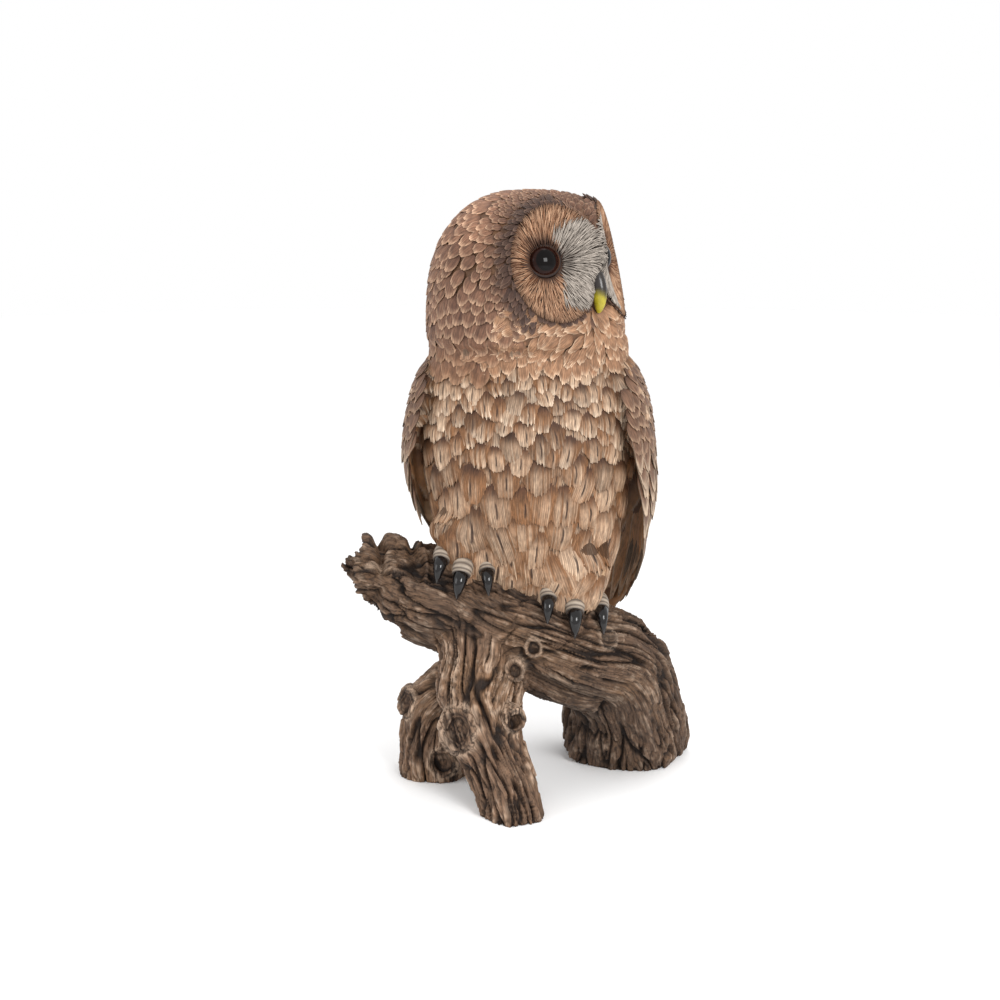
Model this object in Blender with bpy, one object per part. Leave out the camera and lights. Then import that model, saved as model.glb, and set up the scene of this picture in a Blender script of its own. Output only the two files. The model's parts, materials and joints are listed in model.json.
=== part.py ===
"""A cast-resin tawny owl on an arched driftwood branch, one still ornament 315 mm tall.

Lengths are in millimetres until the meshes are made. The sculpture is modelled in its perch frame:
+X runs along the branch, the breast faces -Y and +Z is up, with the floor at z = 0. One empty then
turns it so that the face looks along -Y, and puts the middle of its footprint at the origin.
"""
import math

import bmesh
import bpy
import numpy as np
from mathutils import Vector

MM = 0.001
GAP = 0.3                     # between neighbouring solids
PERCH_TURN = math.radians(-50)  # the face looks along -Y after this turn
FOOTPRINT_SHIFT = (-26.4, -3.4)  # puts the footprint's middle at the origin

# Owl: axis of the body, its turn on the branch and the turn of the head from there
BODY_X, BODY_Y = 15.0, 12.0
BODY_TURN = math.radians(-7)
HEAD_X, HEAD_Y, HEAD_Z = 13.2, 7.5, 250.0
HEAD_TURN = math.radians(50)
HEAD_RADIUS = 51.5
CROWN_HEIGHT = 65.0           # from HEAD_Z to the top of the crown
CROWN_POWER = 2.38            # above 2, a flatter crown with fuller shoulders
NECK_TOP, NECK_BOTTOM = 238.0, 226.0

# Face, in the head's own directions: forward, to the owl's right, up
DISC_CENTRE = (37.5, 21.9, 30.0)
DISC_FACING = (0.84, 0.50, 0.20)
DISC_WIDE, DISC_TALL, DISC_DEEP = 22.0, 28.0, 6.0
RIDGE = 49.5                  # how far forward the ridge between the discs stands
BILL_HOLLOW = 6.5             # how deep the bill sits between the discs
EYE_CENTRE = (28.2, 22.2, 29.9)
EYE_RADIUS = 9.2
BEAK_LINE = ((36.5, 27.5, 3.0, 4.0), (42.4, 23.5, 3.5, 4.6), (45.4, 16.0, 3.7, 4.4),
             (45.9, 8.6, 3.1, 3.5), (44.6, 2.9, 1.5, 1.7), (43.9, 1.2, 0.5, 0.6))

# Trunk: height, half width, reach to the front and to the back of the body's axis
TRUNK = ((88, 30, 6, 26), (98, 39, 13, 32), (110, 44, 21, 37), (125, 48.5, 32, 41), (142, 51.5, 41, 44),
         (158, 54, 45, 46), (174, 56.5, 47, 47), (190, 57.2, 47, 46), (202, 56.5, 46, 45),
         (214, 54, 45.5, 43.5), (226, 52.3, 46.5, 42), (238, 51.8, 49, 42))

# Wing shell: height, half width, reach back, front edge and back edge in degrees from ahead, thickness
WING = ((230, 52.5, 44, 80, 100, 1.4), (222, 57.5, 47, 68, 130, 6), (211, 62, 50, 64, 148, 9),
        (197, 65.5, 52, 66, 160, 10), (182, 67.3, 53.5, 69, 166, 10), (165, 67, 54.5, 72, 167, 9),
        (150, 64.5, 55, 77, 167, 7.5), (135, 59.5, 55, 86, 167, 6.5), (120, 56, 54.5, 96, 166, 5.5),
        (105, 50, 54, 107, 164, 4.8), (92, 44, 54, 119, 161, 4), (82, 38, 54, 133, 156, 2.4))
SWAY, SWAY_FROM = 9.0, 175.0   # how far the wing tips and tail hang to the left, and from what height
WING_CLEAR = 1.7              # from the trunk to a wing's inner face
COVERT_HEM = (152.0, 130.0)   # height of the lowest coverts at the wing's front and back edge
TAIL = ((134, 21, 40, 3.0), (118, 23, 42, 4.4), (100, 23.5, 43.5, 4.8), (82, 23, 46, 4.4),
        (66, 20, 51, 3.6), (57, 14, 54, 2.4))

# Branch and its three feet: x, y, z, radius across, radius up
BRANCH = ((-86, 0.5, 114.5, 14, 19), (-66, 1.5, 110.5, 18, 22.5), (-45, 2, 104.5, 22, 25), (-20, 0, 96, 24, 26),
          (10, -5, 84, 24, 28), (37, -6, 73, 25, 28), (58, 5, 63.5, 26.5, 30), (67.5, 19, 43, 28.5, 30),
          (70.5, 34.5, 19, 33, 32.5), (72, 43.5, 3, 31.5, 33.5), (72, 46, -7, 28, 30))
FRONT_LEG = ((-10, -4, 90, 23.6, 20), (-8, -14, 71, 25, 20), (-10.5, -26, 50, 21, 19), (-5.3, -38, 27, 17, 17),
             (3.3, -50, 4, 15.6, 16.5), (5, -54, -6, 16.3, 17))
LEFT_LEG = ((-8, -8, 66, 15, 15), (-22, -2, 54, 16, 14), (-33.5, 6, 40, 17.5, 15.5), (-37.5, 9.5, 22, 17.8, 17.5),
            (-36.5, 9.5, 4, 19.8, 19.5), (-36.5, 9.5, -6, 20, 20))
ARCH_FROM = 0.50              # share of the branch's length where the arch begins
FOOT_FROM = 0.74              # and where the arch's foot begins
BARK_RIDGES = ((5, 1.2, 1.1), (8, 0.9, -1.9))  # ridges round, height, twist
END_REACH = 44.0              # length of branch that the broken end's slant takes up
END_SLANT = 35.0              # how far the lower lip of the broken end stands back
END_SPLINTERS = ((3, 3.0, 0.6), (5, 2.6, 2.0))  # splinters round the broken end: number, length, phase
END_HOLLOW = 9.0

# Knots: centre, direction they face, radius, and how far they stand out
KNOTS = {
    "knot_large": ((-20, -42, 42), (-0.42, -0.86, 0.22), 10.5, 5.0),
    "knot_side": ((5.0, -39, 47), (0.5, -0.86, 0.0), 5.7, 6.0),
    "knot_front": ((17, -28, 82), (0.1, -0.95, 0.1), 4.2, 3.0),
    "knot_slit": ((8, -32, 71), (-0.1, -0.97, -0.05), 4.6, 2.6),
    "knot_top": ((55, -19, 82), (0.3, -0.7, 0.65), 5.0, 3.4),
    "knot_left": ((-48.5, 1, 42), (-0.8, -0.58, 0.15), 7.5, 3.0),
    "knot_low": ((-31, -5, 11), (-0.15, -0.97, 0.1), 7.5, 4.0),
}

# Toes: place along the branch, sideways lean, size, degrees the toe stays back up the branch
FEET = {"right": ((-28.0, -3.0, 0.92, 9), (-17.5, -3.0, 1.0, 0), (-7.5, 1.0, 0.9, 12)),
        "left": ((26.0, -1.0, 0.9, 11), (39.0, -0.3, 1.0, 6), (51.5, 1.5, 0.9, 15))}
TOE_RADIUS, TALON_RADIUS = 4.5, 3.5

# Facets: over the face and round the back of the head, round the trunk, and round and along each limb
FACE_STEPS, BACK_STEPS = 21, 9
TRUNK_AROUND, TRUNK_LEVELS = 22, 9
BRANCH_AROUND, LEG_AROUND = 20, 15

COLOURS = {                   # base colour, roughness
    "feathers": ((0.30, 0.17, 0.10), 0.75),
    "face": ((0.45, 0.27, 0.15), 0.75),
    "wood": ((0.17, 0.11, 0.075), 0.8),
    "horn": ((0.02, 0.02, 0.022), 0.2),
    "bill": ((0.42, 0.38, 0.06), 0.3),
    "toe": ((0.38, 0.31, 0.22), 0.6),
    "eye": ((0.012, 0.008, 0.007), 0.05),
}


# ---------------------------------------------------------------- scene and mesh helpers

def clear_scene():
    for obj in list(bpy.data.objects):
        bpy.data.objects.remove(obj, do_unlink=True)


def make_frame():
    """The empty that turns the perch frame into the model's own frame."""
    frame = bpy.data.objects.new("perch_frame", None)
    bpy.context.scene.collection.objects.link(frame)
    frame.rotation_euler = (0, 0, PERCH_TURN)
    frame.location = (FOOTPRINT_SHIFT[0] * MM, FOOTPRINT_SHIFT[1] * MM, 0)
    return frame


def make_material(name):
    colour, roughness = COLOURS[name]
    found = bpy.data.materials.get(name)
    if found:
        return found
    material = bpy.data.materials.new(name)
    material.use_nodes = True
    shader = material.node_tree.nodes["Principled BSDF"]
    shader.inputs["Base Color"].default_value = (*colour, 1)
    shader.inputs["Roughness"].default_value = roughness
    shader.inputs["Metallic"].default_value = 0
    return material


def add_object(name, points, faces, material):
    """One closed object from points in millimetres, parented to the perch frame."""
    mesh = bpy.data.meshes.new(name)
    mesh.from_pydata([Vector(p) * MM for p in points], [], faces)
    work = bmesh.new()
    work.from_mesh(mesh)
    bmesh.ops.triangulate(work, faces=work.faces)
    bmesh.ops.recalc_face_normals(work, faces=work.faces)
    work.to_mesh(mesh)
    work.free()
    mesh.shade_smooth()
    mesh.set_sharp_from_angle(angle=math.radians(40))
    mesh.materials.append(make_material(material))
    obj = bpy.data.objects.new(name, mesh)
    bpy.context.scene.collection.objects.link(obj)
    obj.parent = bpy.data.objects["perch_frame"]
    return obj


def loft(name, rings, material, fan=True):
    """A closed solid through rings of points, its ends closed by fans, or flat where they are crescents."""
    rings = np.asarray(rings, float)
    count, around = rings.shape[:2]
    points = list(rings.reshape(-1, 3))
    faces = []
    for i in range(count - 1):
        for j in range(around):
            k = (j + 1) % around
            faces.append((i * around + j, i * around + k, (i + 1) * around + k, (i + 1) * around + j))
    for row in (0, count - 1):
        rim = [row * around + j for j in range(around)]
        if fan:
            points.append(rings[row].mean(axis=0))
            faces += [(rim[j - 1], rim[j], len(points) - 1) for j in range(around)]
        else:
            faces.append(rim)
    return add_object(name, points, faces, material)


def smooth_rows(rows, shares):
    """Values read at these shares of a smooth curve through the rows (Catmull-Rom)."""
    rows = np.asarray(rows, float)
    padded = np.vstack([2 * rows[0] - rows[1], rows, 2 * rows[-1] - rows[-2]])
    at = np.clip(np.asarray(shares, float), 0, 1) * (len(rows) - 1)
    index = np.minimum(at.astype(int), len(rows) - 2)
    t = (at - index)[:, None]
    a, b, c, d = (padded[index + k] for k in range(4))
    return 0.5 * (2 * b + (c - a) * t + (2 * a - 5 * b + 4 * c - d) * t ** 2
                  + (3 * b - a - 3 * c + d) * t ** 3)


def unit(vector):
    return vector / np.linalg.norm(vector)


def bark(angles, share, phase):
    """Height of the long bark ridges round a limb, in millimetres."""
    height = np.zeros_like(angles)
    for number, size, twist in BARK_RIDGES:
        height += size * np.sin(number * angles + twist * share * 3 + phase * number)
    return height


def tube_rings(stations, shares, around, grow=0.0, ridges=0.0, phase=0.0):
    """Rings square to a smooth line through stations of x, y, z, radius across and radius up."""
    dense = np.union1d(np.linspace(0, 1, 121), shares)
    rows = smooth_rows(stations, dense)
    tangents = smooth_rows(stations, dense + 0.002)[:, :3] - smooth_rows(stations, dense - 0.002)[:, :3]
    side = unit(np.cross(tangents[0], (0, 0, 1)) + np.array((1e-6, 0, 0)))
    angles = np.linspace(0, 2 * math.pi, around, endpoint=False)
    wanted = set(np.searchsorted(dense, shares))
    rings = []
    for index, (row, tangent) in enumerate(zip(rows, tangents)):
        along = unit(tangent)
        side = unit(side - along * side.dot(along))
        if index in wanted:
            height = grow + ridges * bark(angles, dense[index], phase)
            rings.append(row[:3] + ((row[3] + height) * np.cos(angles))[:, None] * side
                         + ((row[4] + height) * np.sin(angles))[:, None] * np.cross(side, along))
    return np.array(rings)


def broken_end(rings):
    """Slants and splinters a tube's first ring, squashing the rings behind it, round a hollow."""
    rings = rings.copy()
    first = rings[0].copy()
    middle = first.mean(axis=0)
    inward = unit(rings[1].mean(axis=0) - middle)
    angles = np.linspace(0, 2 * math.pi, len(first), endpoint=False)
    low = (middle[2] - first[:, 2]) / np.abs(first[:, 2] - middle[2]).max()
    back = END_SLANT * np.clip(low, 0, 1) ** 1.3 + 9.0 * np.clip(-low, 0, 1) ** 2
    for number, length, phase in END_SPLINTERS:
        back += length * (1 + np.sin(number * angles + phase))
    for ring in rings:
        depth = (ring.mean(axis=0) - middle) @ inward
        ring += inward * (back * max(0.0, 1 - depth / END_REACH))[:, None]
    hollow = middle + (rings[0] - middle) * 0.62 + inward * END_HOLLOW
    return np.concatenate([[hollow], rings])


def as_cutter(obj):
    obj.hide_render = True
    obj.display_type = "WIRE"
    return obj


def boolean(obj, other, operation="DIFFERENCE"):
    modifier = obj.modifiers.new(operation.lower(), "BOOLEAN")
    modifier.operation = operation
    modifier.object = other
    return obj


def cut_below(obj, height):
    """Cuts an object flat at a height and closes it."""
    work = bmesh.new()
    work.from_mesh(obj.data)
    everything = work.verts[:] + work.edges[:] + work.faces[:]
    made = bmesh.ops.bisect_plane(work, geom=everything, plane_co=(0, 0, height * MM),
                                  plane_no=(0, 0, -1), clear_outer=True)
    rim = [e for e in made["geom_cut"] if isinstance(e, bmesh.types.BMEdge)]
    bmesh.ops.contextual_create(work, geom=rim)
    bmesh.ops.recalc_face_normals(work, faces=work.faces)
    work.to_mesh(obj.data)
    work.free()
    return obj


# ---------------------------------------------------------------- owl: head and face

def from_head(forward, right, up):
    """Perch-frame point of one given in the head's own directions."""
    s, c = math.sin(HEAD_TURN), math.cos(HEAD_TURN)
    return np.stack([HEAD_X + forward * s - right * c, HEAD_Y - forward * c - right * s,
                     HEAD_Z + up + 0 * right], axis=-1)


def crown_radius(up):
    """Half width of the smooth head at a height over HEAD_Z."""
    rise = np.clip(up / CROWN_HEIGHT, 0, 1)
    return HEAD_RADIUS * (1 - rise ** CROWN_POWER) ** (1 / CROWN_POWER)


def head_radius(angles, up):
    """Reach of the head from its axis: the dome, with two dished discs, their ruff and the chin."""
    dome = crown_radius(up) + 0 * angles
    centre, facing = np.array(DISC_CENTRE), unit(np.array(DISC_FACING))
    forward, right = np.cos(angles), np.abs(np.sin(angles))
    plane = (facing @ centre - facing[2] * up) / np.maximum(facing[0] * forward + facing[1] * right, 0.25)
    ridge = RIDGE / np.maximum(forward, 0.3)
    plane = np.where(plane > ridge - 3, ridge - 3 * np.exp(-(plane - ridge + 3) / 3), plane)
    away = np.stack([plane * forward, plane * right, up + 0 * angles], axis=-1) - centre
    across = unit(np.cross((0, 0, 1), facing))
    rise = np.cross(facing, across)
    reach = np.sqrt((away @ across / DISC_WIDE) ** 2 + (away @ rise / DISC_TALL) ** 2)
    on_face = np.clip((1.42 - reach) / 0.42, 0, 1) * (forward > 0.1)
    aside = np.clip((plane * right - 3) / 10, 0, 1)
    shape = dome + on_face ** 1.5 * (plane - dome)
    shape -= 3.0 * np.clip(1 - reach ** 2, 0, 1) * on_face
    shape += (1.2 * np.exp(-((reach - 1.05) / 0.12) ** 2) * aside + 1.2 * (1 - aside)) * on_face
    chin = 1.6 * np.exp(-((dome * np.sin(angles)) / 20) ** 2 - ((up - 0) / 6) ** 2) * (forward > 0)
    hollow = np.clip((up + 8) / 9, 0, 1) * np.clip((31 - up) / 12, 0, 1)
    return shape + chin - BILL_HOLLOW * hollow * np.exp(-(shape * np.sin(angles) / 8) ** 2) * (forward > 0)


def head_angles():
    """Angles round the head, closer together over the face."""
    front = np.radians(np.linspace(-78, 78, FACE_STEPS))
    back = np.radians(np.linspace(78, 282, BACK_STEPS + 2)[1:-1])
    return np.concatenate([front, back])


def head_rings(levels):
    angles = head_angles()
    rings = []
    for up in levels:
        radius = head_radius(angles, up)
        rings.append(from_head(radius * np.cos(angles), radius * np.sin(angles), up))
    return rings


def disc_cutter(name, side, grow):
    """An oval plug, along the way the facial disc faces, that parts the disc from the head."""
    forward, right, up = DISC_CENTRE
    outward = unit(np.array(DISC_FACING))
    across = unit(np.cross((0, 0, 1), outward))
    rise = np.cross(outward, across)
    angles = np.linspace(0, 2 * math.pi, 20, endpoint=False)
    rings = []
    for depth in (-DISC_DEEP - grow, 14.0):
        spread = 1.0 if depth < 0 else 1.06
        local = (np.array((forward, right, up)) + outward * depth
                 + ((DISC_WIDE - 3.2 + grow) * spread * np.cos(angles))[:, None] * across
                 + ((DISC_TALL - 1.0 + grow) * spread * np.sin(angles))[:, None] * rise)
        rings.append(from_head(local[:, 0], local[:, 1] * side, local[:, 2]))
    return as_cutter(loft(name, rings, "face"))


def make_eye(name, side, grow=0.0):
    mesh = bpy.data.meshes.new(name)
    work = bmesh.new()
    bmesh.ops.create_uvsphere(work, u_segments=14, v_segments=8, radius=(EYE_RADIUS + grow) * MM)
    centre = from_head(EYE_CENTRE[0], EYE_CENTRE[1] * side, EYE_CENTRE[2])
    bmesh.ops.translate(work, verts=work.verts, vec=Vector(centre) * MM)
    work.to_mesh(mesh)
    work.free()
    mesh.shade_smooth()
    mesh.materials.append(make_material("eye"))
    obj = bpy.data.objects.new(name, mesh)
    bpy.context.scene.collection.objects.link(obj)
    obj.parent = bpy.data.objects["perch_frame"]
    return obj


def make_beak(name, grow=0.0):
    """The hooked bill: down from between the eyes, curving back at the tip."""
    rows = smooth_rows(BEAK_LINE, np.linspace(0, 1, 9))
    angles = np.linspace(0, 2 * math.pi, 10, endpoint=False)
    rings = []
    ways = np.gradient(rows[:, :2], axis=0)
    for (forward, up, wide, deep), way in zip(rows, ways):
        out = np.array((-way[1], way[0])) / np.linalg.norm(way)
        keel = (deep + grow) * np.cos(angles) * np.where(np.cos(angles) > 0, 1.15, 0.9)
        rings.append(from_head(forward + keel * out[0], (wide + grow) * np.sin(angles), up + keel * out[1]))
    return loft(name, rings, "bill")


def mirrored(obj, name):
    """A copy of a finished solid, on the other side of the head's middle plane."""
    mesh = obj.evaluated_get(bpy.context.evaluated_depsgraph_get()).to_mesh()
    points = np.array([tuple(vert.co) for vert in mesh.vertices]) / MM
    faces = [tuple(face.vertices)[::-1] for face in mesh.polygons]
    origin, across = from_head(0.0, 0.0, 0.0), from_head(0.0, 1.0, 0.0) - from_head(0.0, 0.0, 0.0)
    points -= 2 * ((points - origin) @ across)[:, None] * across
    return add_object(name, points, faces, obj.active_material.name)


def make_head():
    """Head, both facial discs, eyes and bill."""
    levels = (NECK_TOP + GAP - HEAD_Z, -3, 5, 12, 18.5, 25, 31.5, 38, 44.5, 50.5, 55.5, 59.5, 62.7, 64.95)
    head = loft("head", head_rings(levels), "feathers")
    make_beak("beak")
    cut_beak = as_cutter(make_beak("cut_beak", GAP))
    boolean(head, cut_beak)
    disc = loft("facial_disc_right", head_rings(levels), "face")
    boolean(disc, disc_cutter("keep_disc", 1, 0.0), "INTERSECT")
    boolean(disc, as_cutter(make_eye("cut_disc_eye", 1, GAP)))
    boolean(disc, cut_beak)
    mirrored(disc, "facial_disc_left")
    for side, label in ((1, "right"), (-1, "left")):
        make_eye("eye_" + label, side)
        boolean(head, disc_cutter("cut_disc_" + label, side, GAP))
        boolean(head, as_cutter(make_eye("cut_eye_" + label, side, GAP)))


# ---------------------------------------------------------------- owl: trunk, neck, legs

def turned(points):
    """Body-frame points, about the body's axis, as perch-frame points."""
    points = np.asarray(points, float)
    s, c = math.sin(BODY_TURN), math.cos(BODY_TURN)
    x, y = points[..., 0], points[..., 1]
    return np.stack([BODY_X + x * c - y * s, BODY_Y + x * s + y * c, points[..., 2]], axis=-1)


def rows_at(rows, heights):
    """Smooth values of a table of rows, whose first column is a height, at these heights."""
    rows = np.array(rows, float)
    if rows[0, 0] > rows[-1, 0]:
        rows = rows[::-1]
    heights = np.clip(heights, rows[0, 0], rows[-1, 0])
    return smooth_rows(rows, np.interp(heights, rows[:, 0], np.linspace(0, 1, len(rows))))[:, 1:].T


def box_reach(turn, half, front, back, power):
    """Reach of a rounded box section at an angle from straight ahead."""
    deep = np.where(np.cos(turn) > 0, front, back)
    return (np.abs(np.sin(turn) / half) ** power + np.abs(np.cos(turn) / deep) ** power) ** (-1 / power)


def trunk_reach(turn, heights):
    half, front, back = rows_at(TRUNK, heights)
    return box_reach(turn, half, front, back, 2.2)


def round_body(turn, reach, heights):
    """Perch-frame points at these angles, reaches and heights round the body's axis."""
    return turned(np.stack([np.sin(turn) * reach, -np.cos(turn) * reach, heights], axis=-1))


def trunk_rings(levels, grow=0.0):
    angles = np.linspace(0, 2 * math.pi, TRUNK_AROUND, endpoint=False)
    return [round_body(angles, trunk_reach(angles, level + 0 * angles) + grow, level + 0 * angles)
            for level in levels]


def make_leg(name, x, height, grow=0.0):
    """A feathered thigh that swells from the lower breast over one foot."""
    size = np.array((21.0, 12.5, 14.5)) + grow
    centre = on_branch(x, math.radians(12), 12.0) + np.array((0, -1.0, height))
    angles = np.linspace(0, 2 * math.pi, 14, endpoint=False)
    rings = []
    for lift in (-0.98, -0.8, -0.5, -0.15, 0.2, 0.55, 0.82, 0.98):
        flat = math.sqrt(1 - lift ** 2)
        rings.append(np.stack([centre[0] + size[0] * flat * np.cos(angles),
                               centre[1] + size[1] * flat * np.sin(angles),
                               centre[2] + size[2] * lift + 0 * angles], axis=-1))
    return loft(name, rings, "feathers")


# ---------------------------------------------------------------- owl: wings and tail

def sway(heights):
    """How far the wing tips and the tail hang to the owl's left of the body's line."""
    return SWAY * np.clip((SWAY_FROM - heights) / 70, 0, 1.2)


def swayed(rings):
    rings = np.array(rings)
    rings[..., 0] += sway(rings[..., 2])
    return rings


def clear_of_trunk(side, turn, heights):
    """Reach at which a wing's inner face, once swayed, stands clear of the trunk."""
    reach = trunk_reach(turn, heights) + WING_CLEAR
    for _ in range(5):
        x, y = reach * np.sin(turn) + side * sway(heights), reach * np.cos(turn)
        short = trunk_reach(np.arctan2(x, y), heights) + WING_CLEAR - np.hypot(x, y)
        reach = reach + np.maximum(short, 0)
    return reach


def wing_rings(side, tops, bottoms, rows):
    """Rings of a folded wing: a blade between two angles, its inner face clear of the trunk.

    tops and bottoms are the heights of the blade's ends at its front edge and at its back edge.
    """
    u = np.array((0.0, 0.04, 0.14, 0.3, 0.5, 0.7, 0.86, 0.96, 1.0))
    back_u = np.linspace(0.97, 0.03, 8)
    rings = []
    for v in np.linspace(0, 1, rows):
        faces = []
        for share, outside in ((u, True), (back_u, False)):
            top = tops[0] + (tops[1] - tops[0]) * share
            bottom = bottoms[0] + (bottoms[1] - bottoms[0]) * share
            heights = top * (1 - v) + bottom * v
            half, back, start, end, thick = rows_at(WING, heights)
            turn = np.radians(start + (end - start) * share)
            shell = box_reach(turn, half, back, back, 2.5)
            thickness = thick * np.sin(math.pi * np.clip(share, 0.03, 0.97)) ** 0.4
            inner = np.maximum(shell - thickness, clear_of_trunk(side, turn, heights))
            reach = np.maximum(shell - 0.35 * (thick - thickness), inner + 0.8) if outside else inner
            faces.append(round_body(turn, reach, heights) if side > 0 else
                         round_body(-turn, reach, heights))
        rings.append(np.vstack(faces))
    return swayed(rings)


def make_wing(label, side):
    """The coverts from the shoulder down, and the flight feathers below their slanted hem."""
    front, back = COVERT_HEM
    loft("wing_" + label, wing_rings(side, (WING[0][0], WING[0][0] - 1), (front, back), 10),
         "feathers", fan=False)
    loft("flight_feathers_" + label, wing_rings(side, (front - GAP, back - GAP),
                                                (WING[-1][0], WING[-1][0] - 2), 7), "feathers", fan=False)


def tail_rings():
    rings = []
    angles = np.linspace(0, 2 * math.pi, 12, endpoint=False)
    for height, half, y, thick in smooth_rows(TAIL, np.linspace(0, 1, 8)):
        x = half * np.cos(angles)
        rings.append(turned(np.stack([x, y - 0.006 * x ** 2 + thick * np.sin(angles), height + 0 * x],
                                     axis=-1)))
    return swayed(rings)


# ---------------------------------------------------------------- branch, legs, knots

def on_branch(x, lean, height):
    """Point over the branch at a place along it: lean is the angle from its top towards -Y."""
    shares = np.linspace(0, 0.7, 141)
    rows = smooth_rows(BRANCH, shares)
    row = rows[np.argmin(np.abs(rows[:, 0] - x))]
    reach = row[4] + height
    return np.array((x, row[1] - reach * math.sin(lean), row[2] + reach * math.cos(lean)))


def branch_rings(start, end, count, grow=0.0):
    return tube_rings(BRANCH, np.linspace(start, end, count), BRANCH_AROUND, grow=grow, ridges=1.0)


def make_branch():
    """The branch in three lengths, so that the arch is open: branch, arch and the arch's foot."""
    step = 0.0012
    made = {}
    for name, start, end, count in (("branch", 0.0, ARCH_FROM, 14), ("arch", ARCH_FROM + step, FOOT_FROM, 8),
                                    ("arch_foot", FOOT_FROM + step, 1.0, 8)):
        rings = branch_rings(start, end, count)
        if name == "branch":
            rings = broken_end(rings)
        made[name] = loft(name, rings, "wood")
    cut_below(made["arch_foot"], 0.0)
    return made


def make_legs(cut_branch):
    front = loft("front_leg", tube_rings(FRONT_LEG, np.linspace(0, 1, 9), LEG_AROUND, ridges=0.8, phase=1.0),
                 "wood")
    cut_front = as_cutter(loft("cut_front_leg", tube_rings(
        FRONT_LEG, np.linspace(0, 1, 9), LEG_AROUND, grow=4 * GAP, ridges=0.8, phase=1.0), "wood"))
    left = loft("left_leg", tube_rings(LEFT_LEG, np.linspace(0, 1, 9), LEG_AROUND, ridges=0.8, phase=2.0),
                "wood")
    for leg in (front, left):
        cut_below(leg, 0.0)
        boolean(leg, cut_branch)
    boolean(left, cut_front)
    return front, left


def knot_rings(centre, facing, radius, stand, grow=0.0):
    """A sawn side branch: a flared stub with a sunken end."""
    facing = unit(np.array(facing, float))
    side = unit(np.cross(facing, (0, 0, 1)))
    rise = np.cross(side, facing)
    angles = np.linspace(0, 2 * math.pi, 10, endpoint=False)
    profile = ((-7.0, 0.7), (0.0, 1.12), (stand, 0.9), (stand, 0.6), (stand * 0.5, 0.42))
    rings = []
    for depth, share in profile:
        reach = radius * share + grow
        lift = depth + (grow if depth > 0 else -grow)
        rings.append(np.array(centre) + facing * lift + (reach * np.cos(angles))[:, None] * side
                     + (reach * 1.12 * np.sin(angles))[:, None] * rise)
    return rings


def make_knots(limbs):
    for name, (centre, facing, radius, stand) in KNOTS.items():
        loft(name, knot_rings(centre, facing, radius, stand), "wood")
        plug = as_cutter(loft("cut_" + name, knot_rings(centre, facing, radius, stand, GAP)[:3], "wood"))
        for limb in limbs:
            boolean(limb, plug)


# ---------------------------------------------------------------- toes and talons

def digit_line(toe, rows, size):
    """Centre line and radii of a toe or talon that bends over the branch: lean, height, radius."""
    place, sideways, share, held_back = toe
    line = []
    for lean, height, radius in rows:
        point = on_branch(place, math.radians(lean - held_back), height * share)
        point[0] += sideways * (lean - 16) / 30
        line.append((*point, size * radius * share, size * radius * share))
    return line


TOE_ROWS = ((11, 3.8, 0.85), (18, 4.4, 1.0), (30, 4.8, 0.98), (41, 4.4, 0.86))
TALON_ROWS = ((42.5, 5.0, 0.86), (49, 5.8, 1.0), (57, 5.0, 0.82), (64, 3.2, 0.5), (70, 1.4, 0.14))


def make_feet(cut_branch, cut_thighs):
    """Three toes to a foot, each with its talon, cut to rest on the bark and under the thigh."""
    for label, toes in FEET.items():
        for number, toe in enumerate(toes, 1):
            for kind, rows, size, material in (("toe", TOE_ROWS, TOE_RADIUS, "toe"),
                                               ("talon", TALON_ROWS, TALON_RADIUS, "horn")):
                digit = loft(f"{kind}_{label}_{number}", tube_rings(
                    digit_line(toe, rows, size), np.linspace(0, 1, 5), 8), material)
                boolean(digit, cut_branch)
                if kind == "toe":
                    for cutter in cut_thighs:
                        boolean(digit, cutter)


# ---------------------------------------------------------------- assembly

def make_owl(cut_branch):
    """Trunk, neck, thighs, wings and tail, each cut clear of what it rests on or holds."""
    levels = np.linspace(TRUNK[0][0], NECK_BOTTOM, TRUNK_LEVELS)
    trunk = loft("trunk", trunk_rings(levels), "feathers")
    loft("neck", trunk_rings(np.linspace(NECK_BOTTOM + GAP, NECK_TOP, 3)), "feathers")
    tail = loft("tail", tail_rings(), "feathers")
    cut_trunk = as_cutter(loft("cut_trunk", trunk_rings([levels[0] - 5, *levels], GAP), "feathers"))
    boolean(tail, cut_trunk)
    cutters = [cut_trunk]
    for label, x, height in (("right", -16.0, 8.5), ("left", 37.0, 8.0)):
        leg = make_leg("leg_" + label, x, height)
        cutters.append(as_cutter(make_leg("cut_leg_" + label, x, height, GAP)))
        boolean(leg, cut_trunk)
        boolean(leg, cut_branch)
    boolean(trunk, cut_branch)
    for label, side in (("right", -1), ("left", 1)):
        make_wing(label, side)
    return cutters


def main():
    clear_scene()
    make_frame()
    make_head()
    limbs = make_branch()
    cut_branch = as_cutter(loft("cut_branch", branch_rings(0.0, ARCH_FROM * 20 / 14, 21, GAP), "wood"))
    front, left = make_legs(cut_branch)
    make_knots([limbs["branch"], limbs["arch"], front, left])
    make_feet(cut_branch, make_owl(cut_branch))


main()
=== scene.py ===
"""The looks of a painted resin tawny owl on a driftwood branch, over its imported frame.

Lengths are millimetres in the perch frame until a mesh is made: the branch runs along X, the breast
faces -Y and the floor is z = 0. world() turns them into the model's own frame, in metres.
"""
import json
import math

import bpy
import numpy as np
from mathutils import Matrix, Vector
from mathutils.bvhtree import BVHTree

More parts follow.
